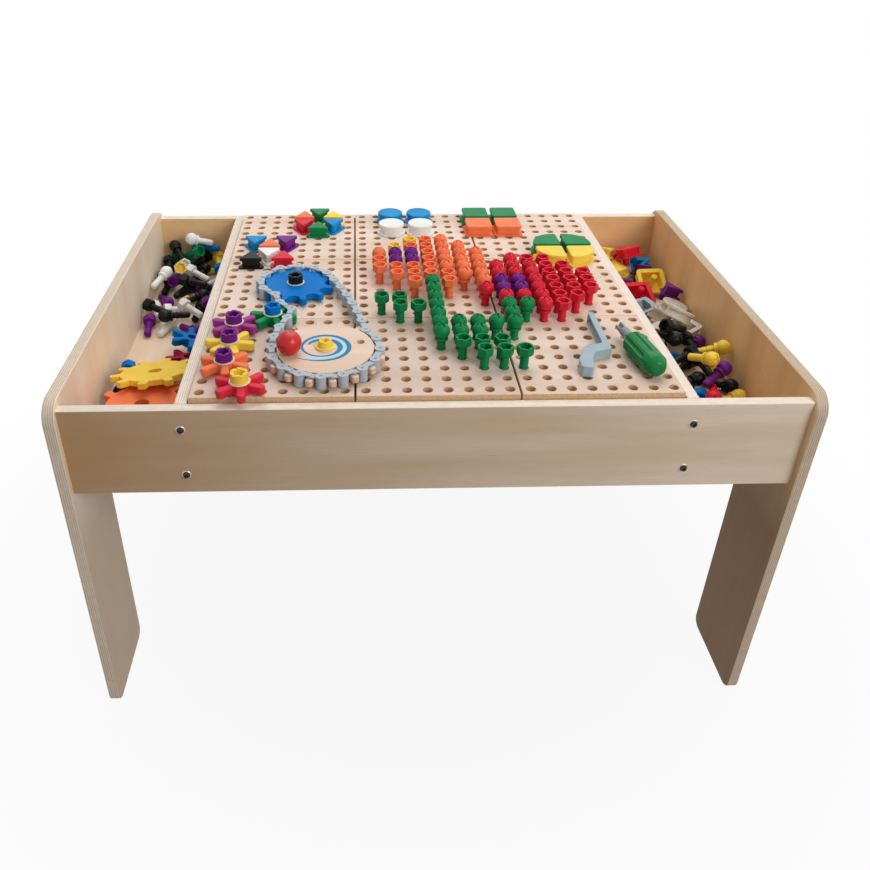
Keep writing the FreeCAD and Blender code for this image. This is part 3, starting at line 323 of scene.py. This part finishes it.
@dataclass(frozen=True)
class WoodFinish:
    """Lacquered wood: faces with grain, and edges that show plywood layers or end grain.

    Args:
        name: Material name.
        pale: Lighter colour of the face.
        warm: Darker colour of the face.
        grain: Axis along which the grain runs.
        thick: Axis through the thickness.
        start: Place of one face along that axis.
        layers: Veneers in a board's thickness, none for solid wood.
        edge_pale: Lighter colour of the edges.
        edge_dark: Darker colour of the edges.
        sheen: Mean roughness.
        painted_shade: Strength of a painted shade that darkens the face towards one end along the grain,
            from 0 to 1.
        painted_shade_tone: Darker tone that the painted shade blends to.
        painted_shade_ends: Places along the grain where the painted shade is full and where it has gone.
    """

    name: str
    pale: Colour
    warm: Colour
    grain: Axis
    thick: Axis
    start: float = 0.0
    layers: int = 11
    edge_pale: Colour = linear(243, 232, 218)
    edge_dark: Colour = linear(204, 176, 146)
    sheen: float = 0.42
    painted_shade: float = 0.0
    painted_shade_tone: Colour = linear(172, 126, 70)
    painted_shade_ends: tuple[float, float] = (-0.45, 0.3)

    def stretch(self, along: float, across: float) -> Triple:
        """Scale with one factor along the grain and one across it."""
        return tuple(along if axis is self.grain else across for axis in Axis)

    def build(self) -> bpy.types.Material:
        """Builds the material.

        Returns:
            The material.
        """
        graph = SurfaceGraph(self.name)
        fibre = graph.noise(self.stretch(*FIBRE_CYCLES))
        normal = graph.split("Normal")
        facing = graph.math("ABSOLUTE", normal.outputs[self.thick.value])
        edge = self.ply_edge(graph) if self.layers else self.end_grain(graph)
        graph.colour(graph.mix(graph.span(facing, *EDGE_TO_FACE), edge, self.face(graph, fibre)))
        smoothest = self.sheen - 0.07
        roughest = self.sheen + 0.09
        graph.roughness(graph.span(fibre, 0.2, 0.8, smoothest, roughest))
        graph.bump(fibre, strength=0.12, distance=0.0004)
        graph.shader.inputs["Specular IOR Level"].default_value = SATIN
        return graph.material

    def face(self, graph: SurfaceGraph, fibre: Socket) -> Socket:
        """Face veneer with broad figure, fine fibres and short dark flecks, and where set a painted shade
        along the grain.

        Args:
            graph: Graph of the material.
            fibre: Noise of the fibres.

        Returns:
            Colour socket.
        """
        figure = graph.noise(self.stretch(*FIGURE_CYCLES), detail=5.0)
        fleck = graph.noise(self.stretch(*FLECK_CYCLES), detail=1.0, shift=(0.3, 0.7, 0.1))
        face = graph.mix(graph.span(figure, 0.35, 0.68), self.pale, self.warm)
        face = graph.mix(graph.swing(fibre, end=0.25), face, self.warm)
        # Painted shade: the face blends towards a darker tone along the grain, full at one end and gone at
        # the other.
        if self.painted_shade:
            along = graph.split("Object").outputs[self.grain.value]
            face = graph.mix(graph.span(along, *self.painted_shade_ends, self.painted_shade, 0.0), face, self.painted_shade_tone)
        fleck_tone = shaded(self.warm, 0.6)
        return graph.mix(graph.span(fleck, 0.66, 0.8, end=0.3), face, fleck_tone)

    def ply_edge(self, graph: SurfaceGraph) -> Socket:
        """Edge with thin alternating layers.

        Args:
            graph: Graph of the material.

        Returns:
            Colour socket.
        """
        place = graph.split("Object")
        depth = graph.math("SUBTRACT", place.outputs[self.thick.value], self.start)
        layer = graph.math("MULTIPLY", depth, self.layers / (2 * PLY))
        wobble = graph.noise(even(40.0))
        phase = graph.math("ADD", graph.math("FRACT", layer), graph.swing(wobble, -0.06, 0.06))
        ramp = graph.node("ShaderNodeValToRGB")
        steps = ramp.color_ramp.elements
        for step, spot in zip(steps, (0.0, 0.52)):
            step.position = spot
            step.color = (*self.edge_pale, 1)
        for spot, tone in ((0.6, self.edge_dark), (0.88, self.edge_dark), (0.97, self.edge_pale)):
            steps.new(spot).color = (*tone, 1)
        graph.link(phase, ramp.inputs["Fac"])
        patch = graph.noise(even(90.0), detail=3.0)
        return graph.mix(graph.swing(patch, 0.15, 0.75), ramp.outputs["Color"], self.edge_pale)

    def end_grain(self, graph: SurfaceGraph) -> Socket:
        """Edge of solid wood, mottled.

        Args:
            graph: Graph of the material.

        Returns:
            Colour socket.
        """
        pores = graph.noise(even(300.0), detail=3.0)
        return graph.mix(graph.swing(pores), self.edge_pale, self.edge_dark)


@dataclass(frozen=True)
class PlasticFinish:
    """Moulded plastic with a slightly uneven colour and sheen.

    Args:
        name: Material name.
        colour: Base colour.
        sheen: Mean roughness.
        spread: How far the roughness varies.
        shine: Strength of the mirror part, from 0 to 1.
        glow: Share of light scattered below the surface.
        depth: How far below the surface it scatters, in metres.
        clear: Share of light let through.
    """

    name: str
    colour: Colour
    sheen: float = 0.36
    spread: float = 0.12
    shine: float = SATIN
    glow: float = 0.0
    depth: float = 0.004
    clear: float = 0.0

    def build(self) -> bpy.types.Material:
        """Builds the material.

        Returns:
            The material.
        """
        graph = SurfaceGraph(self.name)
        blotch = graph.noise(even(38.0), detail=3.0)
        speck = graph.noise(even(900.0), detail=1.0)
        blotch_tone = shaded(self.colour, 0.88)
        graph.colour(graph.mix(graph.swing(blotch), blotch_tone, self.colour))
        half = self.spread / 2
        graph.roughness(graph.swing(blotch, self.sheen + half, self.sheen - half))
        graph.bump(speck, strength=0.06, distance=0.0002)
        graph.shader.inputs["Specular IOR Level"].default_value = self.shine
        graph.shader.inputs["Subsurface Weight"].default_value = self.glow
        graph.shader.inputs["Subsurface Scale"].default_value = self.depth
        graph.shader.inputs["Transmission Weight"].default_value = self.clear
        return graph.material


@dataclass(frozen=True)
class MetalFinish:
    """Plated steel with fine scratches.

    Args:
        name: Material name.
        colour: Metal colour.
        sheen: Lowest roughness.
        spread: How far the roughness varies.
    """

    name: str
    colour: Colour
    sheen: float = 0.32
    spread: float = 0.15

    def build(self) -> bpy.types.Material:
        """Builds the material.

        Returns:
            The material.
        """
        graph = SurfaceGraph(self.name)
        scratch = graph.noise((300.0, 300.0, 1500.0))
        scratch_tone = shaded(self.colour, 0.7)
        graph.colour(graph.mix(graph.swing(scratch), scratch_tone, self.colour))
        graph.roughness(graph.swing(scratch, self.sheen, self.sheen + self.spread))
        graph.shader.inputs["Metallic"].default_value = 1.0
        return graph.material


Finish = WoodFinish | PlasticFinish | MetalFinish

PLASTICS: dict[str, PlasticFinish] = {
    "orange": PlasticFinish("orange_plastic", linear(254, 132, 82), glow=0.05),
    "red": PlasticFinish("red_plastic", linear(224, 34, 58), glow=0.04),
    "green": PlasticFinish("green_plastic", linear(14, 136, 76), shine=0.12),
    "yellow": PlasticFinish("yellow_plastic", linear(255, 218, 80), glow=0.05),
    "purple": PlasticFinish("purple_plastic", linear(112, 30, 132)),
    "white": PlasticFinish("white_plastic", linear(250, 249, 246), glow=0.08),
    "black": PlasticFinish("black_plastic", linear(26, 26, 28)),
    "blue": PlasticFinish("blue_plastic", linear(0, 122, 206), shine=0.06),
    "grey": PlasticFinish("grey_plastic", linear(160, 178, 188), sheen=0.42),
    "clear": PlasticFinish("clear_plastic", linear(240, 232, 216), sheen=0.24, glow=0.1, clear=0.25),
    "burgundy": PlasticFinish("burgundy_plastic", linear(160, 20, 60)),
}


class Workshop:
    """Hands out materials, one per finish."""

    def __init__(self) -> None:
        """Starts with no material made."""
        self.made: dict[Finish, bpy.types.Material] = {}

    def paint(self, piece: bpy.types.Object, finish: Finish) -> None:
        """Gives a piece the material of a finish, built on first use.

        Args:
            piece: Mesh object.
            finish: Its finish.
        """
        if finish not in self.made:
            self.made[finish] = finish.build()
        piece.data.materials.clear()
        piece.data.materials.append(self.made[finish])


def link_mesh(name: str, form: bmesh.types.BMesh, smooth_angle: float = 35.0) -> bpy.types.Object:
    """Turns a bmesh into an object with smooth shading up to an angle, and frees the bmesh.

    Args:
        name: Object name.
        form: The bmesh.
        smooth_angle: Edges sharper than this stay crisp, in degrees.

    Returns:
        The linked object.
    """
    mesh = bpy.data.meshes.new(name)
    form.to_mesh(mesh)
    form.free()
    mesh.polygons.foreach_set("use_smooth", [True] * len(mesh.polygons))
    mesh.set_sharp_from_angle(angle=math.radians(smooth_angle))
    piece = bpy.data.objects.new(name, mesh)
    bpy.context.scene.collection.objects.link(piece)
    return piece


@dataclass
class SoftenedCopy:
    """Copy of a CAD node with its facets merged and its sharp edges rounded over.

    Args:
        node: CAD node that it stands for.
        finish: Finish of the whole piece.
        edge: Width of the rounding in metres.
        bevel_angle: Edges sharper than this are rounded, in degrees.
        shortest: Edges shorter than this stay sharp, in metres.
        segments: Segments of the rounding.
        merge_angle: Facets that differ by less than this become one, in degrees.
        weld: Corners nearer to each other than this become one, in metres.
    """

    node: str
    finish: Finish
    edge: float = 0.0005
    bevel_angle: float = 50.0
    shortest: float = 0.0
    segments: int = 2
    merge_angle: float = 0.6
    weld: float = 2e-6

    def build(self, shop: Workshop) -> None:
        """Builds the copy and lets it stand for its node.

        Args:
            shop: Source of materials.
        """
        source = frame["nodes"][self.node]
        form = bmesh.new()
        form.from_mesh(source.data)
        bmesh.ops.remove_doubles(form, verts=form.verts[:], dist=self.weld)
        bmesh.ops.dissolve_limit(form, angle_limit=math.radians(self.merge_angle),
                                 verts=form.verts[:], edges=form.edges[:])
        bmesh.ops.bevel(form, geom=self.sharp_edges(form), offset=self.edge, offset_type="OFFSET",
                        affect="EDGES", segments=self.segments, profile=0.5, clamp_overlap=True, material=-1)
        piece = link_mesh(self.node + "_finished", form)
        shading = piece.modifiers.new("even_shading", "WEIGHTED_NORMAL")
        shading.keep_sharp = True
        shop.paint(piece, self.finish)
        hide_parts(self.node)
        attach(piece, source["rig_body"])
        LOG.info("%s: %d faces", piece.name, len(piece.data.polygons))

    def sharp_edges(self, form: bmesh.types.BMesh) -> list[bmesh.types.BMEdge]:
        """Edges that get a rounding.

        Args:
            form: The merged copy.

        Returns:
            The edges.
        """
        limit = math.radians(self.bevel_angle)
        return [edge for edge in form.edges if edge.is_manifold and edge.calc_length() >= self.shortest
                and edge.calc_face_angle() > limit]


BIRCH_PALE = linear(234, 214, 190)
BIRCH_WARM = linear(214, 184, 152)
# The front rail's copy of the birch is paler: partly the wood's own tone and partly painted light, as on its
# lit right end.
RAIL_PALE = linear(238, 222, 204)
RAIL_WARM = linear(220, 195, 167)
# Honey is a warmer copy of the birch: partly the wood's own tone and partly painted bounce light, the orange
# that light takes between the wooden panels.
HONEY_PALE = linear(247, 211, 160)
HONEY_WARM = linear(231, 189, 136)
CREAM_PALE = linear(244, 226, 204)
CREAM_WARM = linear(230, 204, 176)
# Panel is a paler copy of the birch for the left end panel: partly the wood's own tone and partly painted
# light on its inner face, which faces the side light.
PANEL_PALE = linear(250, 236, 216)
PANEL_WARM = linear(239, 217, 192)
BOARD_PALE = linear(238, 216, 201)
BOARD_WARM = linear(222, 193, 171)
BOARD_EDGE_PALE = linear(222, 188, 148)
BOARD_EDGE_DARK = linear(204, 164, 122)


@dataclass
class TableFrame:
    """Panels, rails, dividers, bin floors and bearers, with their connector screws.

    Args:
        outer: Outer face of the end panels.
        rail_face: Outer face of the rails.
        divider_face: Inner face of the dividers.
        floor_top: Top of the bin floors.
        arris: Rounding of the plywood's edges.
    """

    outer: float = 0.466
    rail_face: float = 0.316
    divider_face: float = 0.301
    floor_top: float = 0.413
    arris: float = 0.0008

    def build(self, shop: Workshop) -> None:
        """Finishes all pieces of the frame.

        Args:
            shop: Source of materials.
        """
        # Painted shade: the end panels' faces darken towards the floor under the table, and their edge
        # colours are darker copies, the right panel's darkest. The front rail darkens towards its left end.
        foot_shade_ends = (0.3, 0.46)
        left_foot_painted_shade = {"painted_shade": 0.9, "painted_shade_tone": linear(200, 173, 144), "painted_shade_ends": foot_shade_ends,
                     "edge_pale": linear(230, 214, 194), "edge_dark": linear(184, 154, 120)}
        right_foot_painted_shade = {"painted_shade": 0.95, "painted_shade_tone": linear(160, 118, 72), "painted_shade_ends": foot_shade_ends,
                      "edge_pale": linear(204, 184, 160), "edge_dark": linear(160, 134, 106)}
        uprights = (
            ("left_end_panel", PANEL_PALE, PANEL_WARM, Axis.Z, Axis.X, -self.outer, left_foot_painted_shade),
            ("right_end_panel", HONEY_PALE, HONEY_WARM, Axis.Z, Axis.X, self.outer - PLY, right_foot_painted_shade),
            ("front_rail", RAIL_PALE, RAIL_WARM, Axis.X, Axis.Y, -self.rail_face, {"painted_shade": 0.8}),
            ("back_rail", HONEY_PALE, HONEY_WARM, Axis.X, Axis.Y, self.rail_face - PLY, {}),
            ("left_divider", BIRCH_PALE, BIRCH_WARM, Axis.Y, Axis.X, -self.divider_face - PLY, {}),
            ("right_divider", HONEY_PALE, HONEY_WARM, Axis.Y, Axis.X, self.divider_face, {}),
        )
        for node, pale, warm, grain, thick, start, shade_settings in uprights:
            finish = WoodFinish(node + "_ply", pale, warm, grain, thick, start, **shade_settings)
            SoftenedCopy(node, finish, self.arris).build(shop)
        floor_ply = WoodFinish("bin_floor_ply", CREAM_PALE, CREAM_WARM, Axis.Y, Axis.Z, self.floor_top - PLY)
        bearer_wood = WoodFinish("bearer_wood", BIRCH_WARM, HONEY_WARM, Axis.Y, Axis.Z, layers=0)
        for node, finish in (("left_bin_floor", floor_ply), ("right_bin_floor", floor_ply),
                             ("board_bearers", bearer_wood)):
            shop.paint(frame["nodes"][node], finish)
        screw_steel = MetalFinish("screw_steel", linear(74, 70, 64))
        SoftenedCopy("connector_screws", screw_steel, edge=0.0003).build(shop)
        cup_steel = MetalFinish("cup_steel", linear(196, 190, 178))
        SoftenedCopy("screw_cups", cup_steel, edge=0.0002).build(shop)


@dataclass
class PegBoards:
    """Nine peg boards of slightly different wood, darker at the front as painted shade and lighter at the
    back as painted light.

    Args:
        light_and_shade_factors: Brightness of each board, front left first: darker in the front row as
            painted shade, lighter in the back row as painted light.
        arris: Rounding of the outer edges.
        shortest: Edges shorter than this, the hole rims, stay sharp.
    """

    light_and_shade_factors: tuple[float, ...] = (0.9, 0.88, 0.97, 1.02, 1.05, 1.03, 1.07, 1.06, 1.07)
    arris: float = 0.0012
    shortest: float = 0.02

    def build(self, shop: Workshop) -> None:
        """Finishes the boards.

        Args:
            shop: Source of materials.
        """
        names = [f"peg_board_{row}_{column}" for row in ("front", "middle", "back")
                 for column in ("left", "centre", "right")]
        # Each board's colours are scaled by its factor: painted shade on the front boards, painted light on
        # the back ones.
        for name, light_and_shade_factor in zip(names, self.light_and_shade_factors):
            finish = WoodFinish(name + "_wood", shaded(BOARD_PALE, light_and_shade_factor), shaded(BOARD_WARM, light_and_shade_factor), Axis.X,
                                Axis.Z, layers=0, edge_pale=BOARD_EDGE_PALE, edge_dark=BOARD_EDGE_DARK)
            SoftenedCopy(name, finish, self.arris, shortest=self.shortest).build(shop)


@dataclass
class SpiralStroke:
    """One painted stroke of the spiral on the crank gear.

    Args:
        name: Piece name.
        finish: Paint.
        marks: Points along the stroke, each an angle in degrees, a radius and a width in millimetres.
        steps: Steps between two marks.
        film: Thickness of the paint.
    """

    name: str
    finish: PlasticFinish
    marks: tuple[Triple, ...]
    steps: int = 14
    film: float = 0.00012

    def build(self, shop: Workshop, centre: Vector) -> None:
        """Builds the stroke as a thin film on the gear.

        Args:
            shop: Source of materials.
            centre: Point on the gear's top at its axis.
        """
        form = bmesh.new()
        count = self.steps * (len(self.marks) - 1)
        sides = self.sides(0.0, centre)
        tip = form.edges.new([form.verts.new(side) for side in sides])
        for step in range(1, count + 1):
            grown = bmesh.ops.extrude_edge_only(form, edges=[tip])["geom"]
            tip = next(item for item in grown if isinstance(item, bmesh.types.BMEdge))
            ends = sorted(tip.verts, key=lambda vert: (vert.co - centre).length)
            for vert, side in zip(ends, self.sides(step / count, centre)):
                vert.co = side
        raised = bmesh.ops.extrude_face_region(form, geom=form.faces[:])["geom"]
        lifted = [item for item in raised if isinstance(item, bmesh.types.BMVert)]
        bmesh.ops.translate(form, verts=lifted, vec=(0.0, 0.0, self.film))
        bmesh.ops.recalc_face_normals(form, faces=form.faces[:])
        piece = link_mesh(self.name, form)
        shop.paint(piece, self.finish)
        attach(piece, "crank_gear")
        LOG.info("%s: painted on the crank gear", self.name)

    def sides(self, share: float, centre: Vector) -> tuple[Vector, Vector]:
        """Inner and outer point of the stroke, on a smooth line through the marks.

        Args:
            share: Place along the stroke from 0 to 1.
            centre: Point on the gear's top at its axis.

        Returns:
            The two points.
        """
        last = len(self.marks) - 1
        index = min(int(share * last), last - 1)
        rest = share * last - index
        before, start, end, after = (
            Vector(self.marks[min(max(index + offset, 0), last)]) for offset in (-1, 0, 1, 2))
        leave, arrive = (end - before) / 2, (after - start) / 2
        bend = 3 * (end - start) - 2 * leave - arrive
        twist = 2 * (start - end) + leave + arrive
        angle, radius, width = start + leave * rest + bend * rest ** 2 + twist * rest ** 3
        heading = Matrix.Rotation(math.radians(angle), 3, "Z") @ Vector((0.001, 0.0, 0.0))
        return centre + heading * (radius - width / 2), centre + heading * (radius + width / 2)


SPIRAL_DARK = (
    (160, 23.5, 2.6), (135, 22.6, 4.4), (90, 20.4, 5.4), (45, 19.0, 6.6), (0, 18.6, 7.0), (-45, 19.3, 5.0),
    (-90, 21.2, 2.8), (-135, 25.6, 3.0), (-180, 30.0, 3.5), (-225, 31.2, 4.0), (-270, 31.2, 4.6),
    (-315, 30.4, 5.4), (-360, 30.0, 6.0), (-405, 30.4, 5.0), (-450, 31.8, 3.7), (-480, 36.0, 2.4),
    (-505, 43.0, 0.8),
)
SPIRAL_PALE = (
    (165, 27.4, 1.0), (135, 27.0, 3.8), (90, 26.0, 5.4), (45, 25.0, 5.2), (0, 24.6, 4.8), (-45, 25.0, 6.2),
    (-90, 26.2, 7.0), (-120, 29.6, 7.4), (-140, 33.0, 5.0), (-155, 36.4, 1.0),
)


@dataclass
class GearWorks:
    """Crank gear with its painted spiral and knob, blue gear, flowers, hubs and chain.

    Args:
        crank_hole: Column and row of the crank gear's peg hole.
        middle_hole: Place of the table's middle in the columns and in the rows.
        moulded_edge: Rounding of the moulded gears.
    """

    crank_hole: tuple[int, int] = (6, 3)
    middle_hole: float = 11.5
    moulded_edge: float = 0.0008

    def build(self, shop: Workshop) -> None:
        """Builds all pieces of the gear works.

        Args:
            shop: Source of materials.
        """
        wood = WoodFinish("crank_wood", linear(236, 212, 192), linear(222, 192, 168), Axis.X, Axis.Z,
                          layers=0, edge_pale=linear(236, 204, 178), edge_dark=linear(214, 176, 146))
        SoftenedCopy("crank_gear", wood, edge=0.0012).build(shop)
        lacquer = PlasticFinish("knob_lacquer", linear(214, 40, 40), sheen=0.22, shine=0.35)
        SoftenedCopy("crank_knob", lacquer).build(shop)
        SoftenedCopy("blue_gear", PLASTICS["blue"], self.moulded_edge).build(shop)
        flowers = {
            "green": PLASTICS["green"],
            "purple": PlasticFinish("flower_plum", linear(170, 58, 146)),
            "yellow": PLASTICS["yellow"],
            "orange": PLASTICS["orange"],
            "red": PlasticFinish("flower_red", linear(228, 44, 66), glow=0.04),
        }
        for colour, finish in flowers.items():
            SoftenedCopy(f"{colour}_flower", finish, self.moulded_edge).build(shop)
        for colour in ("purple", "yellow", "blue", "black"):
            SoftenedCopy(f"{colour}_hubs", PLASTICS[colour], edge=0.0006).build(shop)
        washer = PlasticFinish("washer_plastic", linear(242, 230, 214))
        SoftenedCopy("hub_washers", washer, edge=0.0003).build(shop)
        chain = PlasticFinish("chain_plastic", linear(186, 196, 204), sheen=0.42)
        SoftenedCopy("chain_links", chain, edge=0.0004).build(shop)
        self.spiral(shop)

    def spiral(self, shop: Workshop) -> None:
        """Paints the spiral of a dark stroke and a pale band between its turns.

        Args:
            shop: Source of materials.
        """
        place = [(number - self.middle_hole) * HOLE_PITCH for number in self.crank_hole]
        centre = Vector((*place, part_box("crank_gear")[1][2]))
        dark = PlasticFinish("spiral_blue", linear(44, 130, 178), sheen=0.5)
        pale = PlasticFinish("spiral_pale_blue", linear(196, 222, 234), sheen=0.5)
        SpiralStroke("spiral_dark", dark, SPIRAL_DARK).build(shop, centre)
        SpiralStroke("spiral_pale", pale, SPIRAL_PALE, film=0.00006).build(shop, centre)


@dataclass
class PlayPieces:
    """Bolts and shape pegs, standing in the holes and loose in the bins, and the loose gears.

    Args:
        bolts: Colours of the bolts.
        pegs: Colours of the shape pegs.
        loose: Colour and kind of the loose gears.
    """

    bolts: tuple[str, ...] = ("orange", "red", "green", "purple", "yellow", "white", "black", "blue")
    pegs: tuple[str, ...] = ("blue", "white", "green", "orange", "yellow", "red", "purple", "black",
                             "grey", "clear")
    loose: tuple[tuple[str, str], ...] = (("orange", "gear"), ("yellow", "gear"), ("burgundy", "flower"),
                                          ("blue", "flower"), ("orange", "flower"))

    def build(self, shop: Workshop) -> None:
        """Builds all play pieces.

        Args:
            shop: Source of materials.
        """
        for colour in self.bolts:
            SoftenedCopy(f"{colour}_bolts", PLASTICS[colour], edge=0.0004, shortest=0.0025, segments=1,
                         merge_angle=3.0).build(shop)
        # Painted sheen: the pegs' blue is a lighter copy of the blue plastic, standing in for the sheen on
        # their tops.
        pale_blue = PlasticFinish("peg_blue_painted_sheen", linear(20, 148, 214), shine=0.1)
        for colour in self.pegs:
            finish = pale_blue if colour == "blue" else PLASTICS[colour]
            SoftenedCopy(f"{colour}_pegs", finish, edge=0.0005).build(shop)
        for colour, kind in self.loose:
            SoftenedCopy(f"loose_{colour}_{kind}", PLASTICS[colour], edge=0.0008).build(shop)


@dataclass
class HandTools:
    """Spanner and screwdriver.

    Args:
        spanner: Finish of the spanner.
        blade: Finish of the screwdriver's blade.
        handle: Finish of its handle.
    """

    spanner: PlasticFinish = PlasticFinish("spanner_plastic", linear(168, 186, 196), sheen=0.4)
    blade: PlasticFinish = PlasticFinish("blade_plastic", linear(150, 152, 156), sheen=0.36)
    handle: PlasticFinish = PlasticFinish("handle_plastic", linear(10, 128, 62), sheen=0.24, shine=0.2)

    def build(self, shop: Workshop) -> None:
        """Builds the tools.

        Args:
            shop: Source of materials.
        """
        SoftenedCopy("spanner", self.spanner, edge=0.0008).build(shop)
        SoftenedCopy("screwdriver_blade", self.blade, edge=0.0005).build(shop)
        SoftenedCopy("screwdriver_handle", self.handle, edge=0.0008).build(shop)


@dataclass
class Studio:
    """Pale floor, soft lights and white surroundings.

    Args:
        floor_reach: Half of the floor's side.
        floor_dark: Darker grey of the floor's paint.
        floor_pale: Lighter grey of the floor's paint.
        sky: Strength of the soft light from all round.
        near: Distance from the middle up to which the floor shows its shading.
        far: Distance from which the floor is plain white to the eye.
        veil: White over the shaded floor near the table.
        aim: Point that the lamps face.
    """

    floor_reach: float = 12.0
    floor_dark: Colour = (0.34, 0.34, 0.34)
    floor_pale: Colour = (0.36, 0.36, 0.36)
    sky: float = 0.3
    near: float = 0.4
    far: float = 1.0
    veil: float = 0.91
    aim: Triple = (0.0, 0.0, 0.5)

    def build(self) -> None:
        """Builds the floor, the world and the lights."""
        self.floor()
        self.surroundings()
        self.lamp("overhead_light", (0.2, 0.9, 2.6), size=2.2, power=37.0)
        self.lamp("side_light", (1.6, -2.0, 1.9), size=1.6, power=37.0)
        LOG.info("studio is lit")

    def floor(self) -> None:
        """Lays the floor, which is white far from the table and keeps the table's shadow near it."""
        form = bmesh.new()
        bmesh.ops.create_grid(form, x_segments=1, y_segments=1, size=self.floor_reach)
        piece = link_mesh("studio_floor", form)
        graph = SurfaceGraph("floor_paint")
        dust = graph.noise(even(3.0))
        graph.colour(graph.mix(graph.swing(dust), self.floor_dark, self.floor_pale))
        graph.shader.inputs["Roughness"].default_value = 0.9
        distance = graph.node("ShaderNodeVectorMath", operation="LENGTH")
        graph.link(graph.coords.outputs["Object"], distance.inputs[0])
        whiteness = graph.span(distance.outputs["Value"], self.near, self.far, self.veil, 1.0)
        white = graph.node("ShaderNodeEmission")
        cover = graph.node("ShaderNodeMixShader")
        graph.link(graph.math("MULTIPLY", whiteness, graph.seen_directly()), cover.inputs["Fac"])
        graph.link(graph.shader.outputs[0], cover.inputs[1])
        graph.link(white.outputs[0], cover.inputs[2])
        graph.link(cover.outputs[0], graph.first("OUTPUT_MATERIAL").inputs["Surface"])
        piece.data.materials.append(graph.material)

    def surroundings(self) -> None:
        """Makes a world that looks white and lights the table softly."""
        world = bpy.data.worlds.new("studio")
        world.use_nodes = True
        graph = NodeGraph(world.node_tree)
        soft = graph.first("BACKGROUND")
        soft.inputs["Color"].default_value = (1.0, 1.0, 1.0, 1.0)
        soft.inputs["Strength"].default_value = self.sky
        white = graph.node("ShaderNodeBackground")
        white.inputs["Color"].default_value = (1.0, 1.0, 1.0, 1.0)
        either = graph.node("ShaderNodeMixShader")
        graph.link(graph.seen_directly(), either.inputs["Fac"])
        graph.link(soft.outputs[0], either.inputs[1])
        graph.link(white.outputs[0], either.inputs[2])
        graph.link(either.outputs[0], graph.first("OUTPUT_WORLD").inputs["Surface"])
        bpy.context.scene.world = world

    def lamp(self, name: str, place: Triple, size: float, power: float) -> None:
        """Adds a square area light that faces the table.

        Args:
            name: Object name.
            place: Where it hangs.
            size: Side in metres.
            power: Power in watts.
        """
        light = bpy.data.lights.new(name, "AREA")
        light.size = size
        light.energy = power
        lamp = bpy.data.objects.new(name, light)
        lamp.location = place
        lamp.rotation_euler = (Vector(self.aim) - Vector(place)).to_track_quat("-Z", "Y").to_euler()
        bpy.context.scene.collection.objects.link(lamp)


@dataclass
class PhotoCamera:
    """Camera at the photograph's place.

    Args:
        place: Position in metres.
        focal: Focal length in pixels of the frame.
        pitch: Downward tilt in radians.
        yaw: Turn to the left in radians.
        roll: Roll in radians.
        centre: Principal point in pixels.
        frame_side: Side of the square frame in pixels.
        sensor: Side of the sensor in millimetres.
        clip: Nearest and farthest distance that it shows, in metres.
    """

    place: Triple = (-0.09513, -1.12646, 1.06279)
    focal: float = 828.81
    pitch: float = 0.5364
    yaw: float = -0.0316
    roll: float = 0.0060
    centre: tuple[float, float] = (381.53, 358.99)
    frame_side: float = 870.0
    sensor: float = 36.0
    clip: tuple[float, float] = (0.05, 60.0)

    def build(self) -> None:
        """Creates the camera and makes it the scene's own."""
        data = bpy.data.cameras.new("photo_camera")
        data.sensor_width = self.sensor
        data.lens = self.sensor * self.focal / self.frame_side
        data.shift_x = 0.5 - self.centre[0] / self.frame_side
        data.shift_y = self.centre[1] / self.frame_side - 0.5
        data.clip_start, data.clip_end = self.clip
        right = Vector((math.cos(self.yaw), math.sin(self.yaw), 0.0))
        ahead = Vector((-math.sin(self.yaw), math.cos(self.yaw), 0.0))
        down = Vector((0.0, 0.0, -1.0))
        view = ahead * math.cos(self.pitch) + down * math.sin(self.pitch)
        above = ahead * math.sin(self.pitch) - down * math.cos(self.pitch)
        side = right * math.cos(self.roll) + above * math.sin(self.roll)
        up = above * math.cos(self.roll) - right * math.sin(self.roll)
        camera = bpy.data.objects.new("photo_camera", data)
        turn = Matrix((side, up, -view)).transposed().to_4x4()
        camera.matrix_world = Matrix.Translation(self.place) @ turn
        bpy.context.scene.collection.objects.link(camera)
        bpy.context.scene.camera = camera


def main() -> None:
    """Dresses the whole table and sets the studio and the camera."""
    logging.basicConfig(level=logging.INFO)
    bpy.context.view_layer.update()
    shop = Workshop()
    for assembly in (TableFrame(), PegBoards(), GearWorks(), PlayPieces(), HandTools()):
        assembly.build(shop)
        LOG.info("built %s", type(assembly).__name__)
    Studio().build()
    PhotoCamera().build()
    bpy.context.scene.view_settings.view_transform = "Standard"


if __name__ == "__main__":
    main()
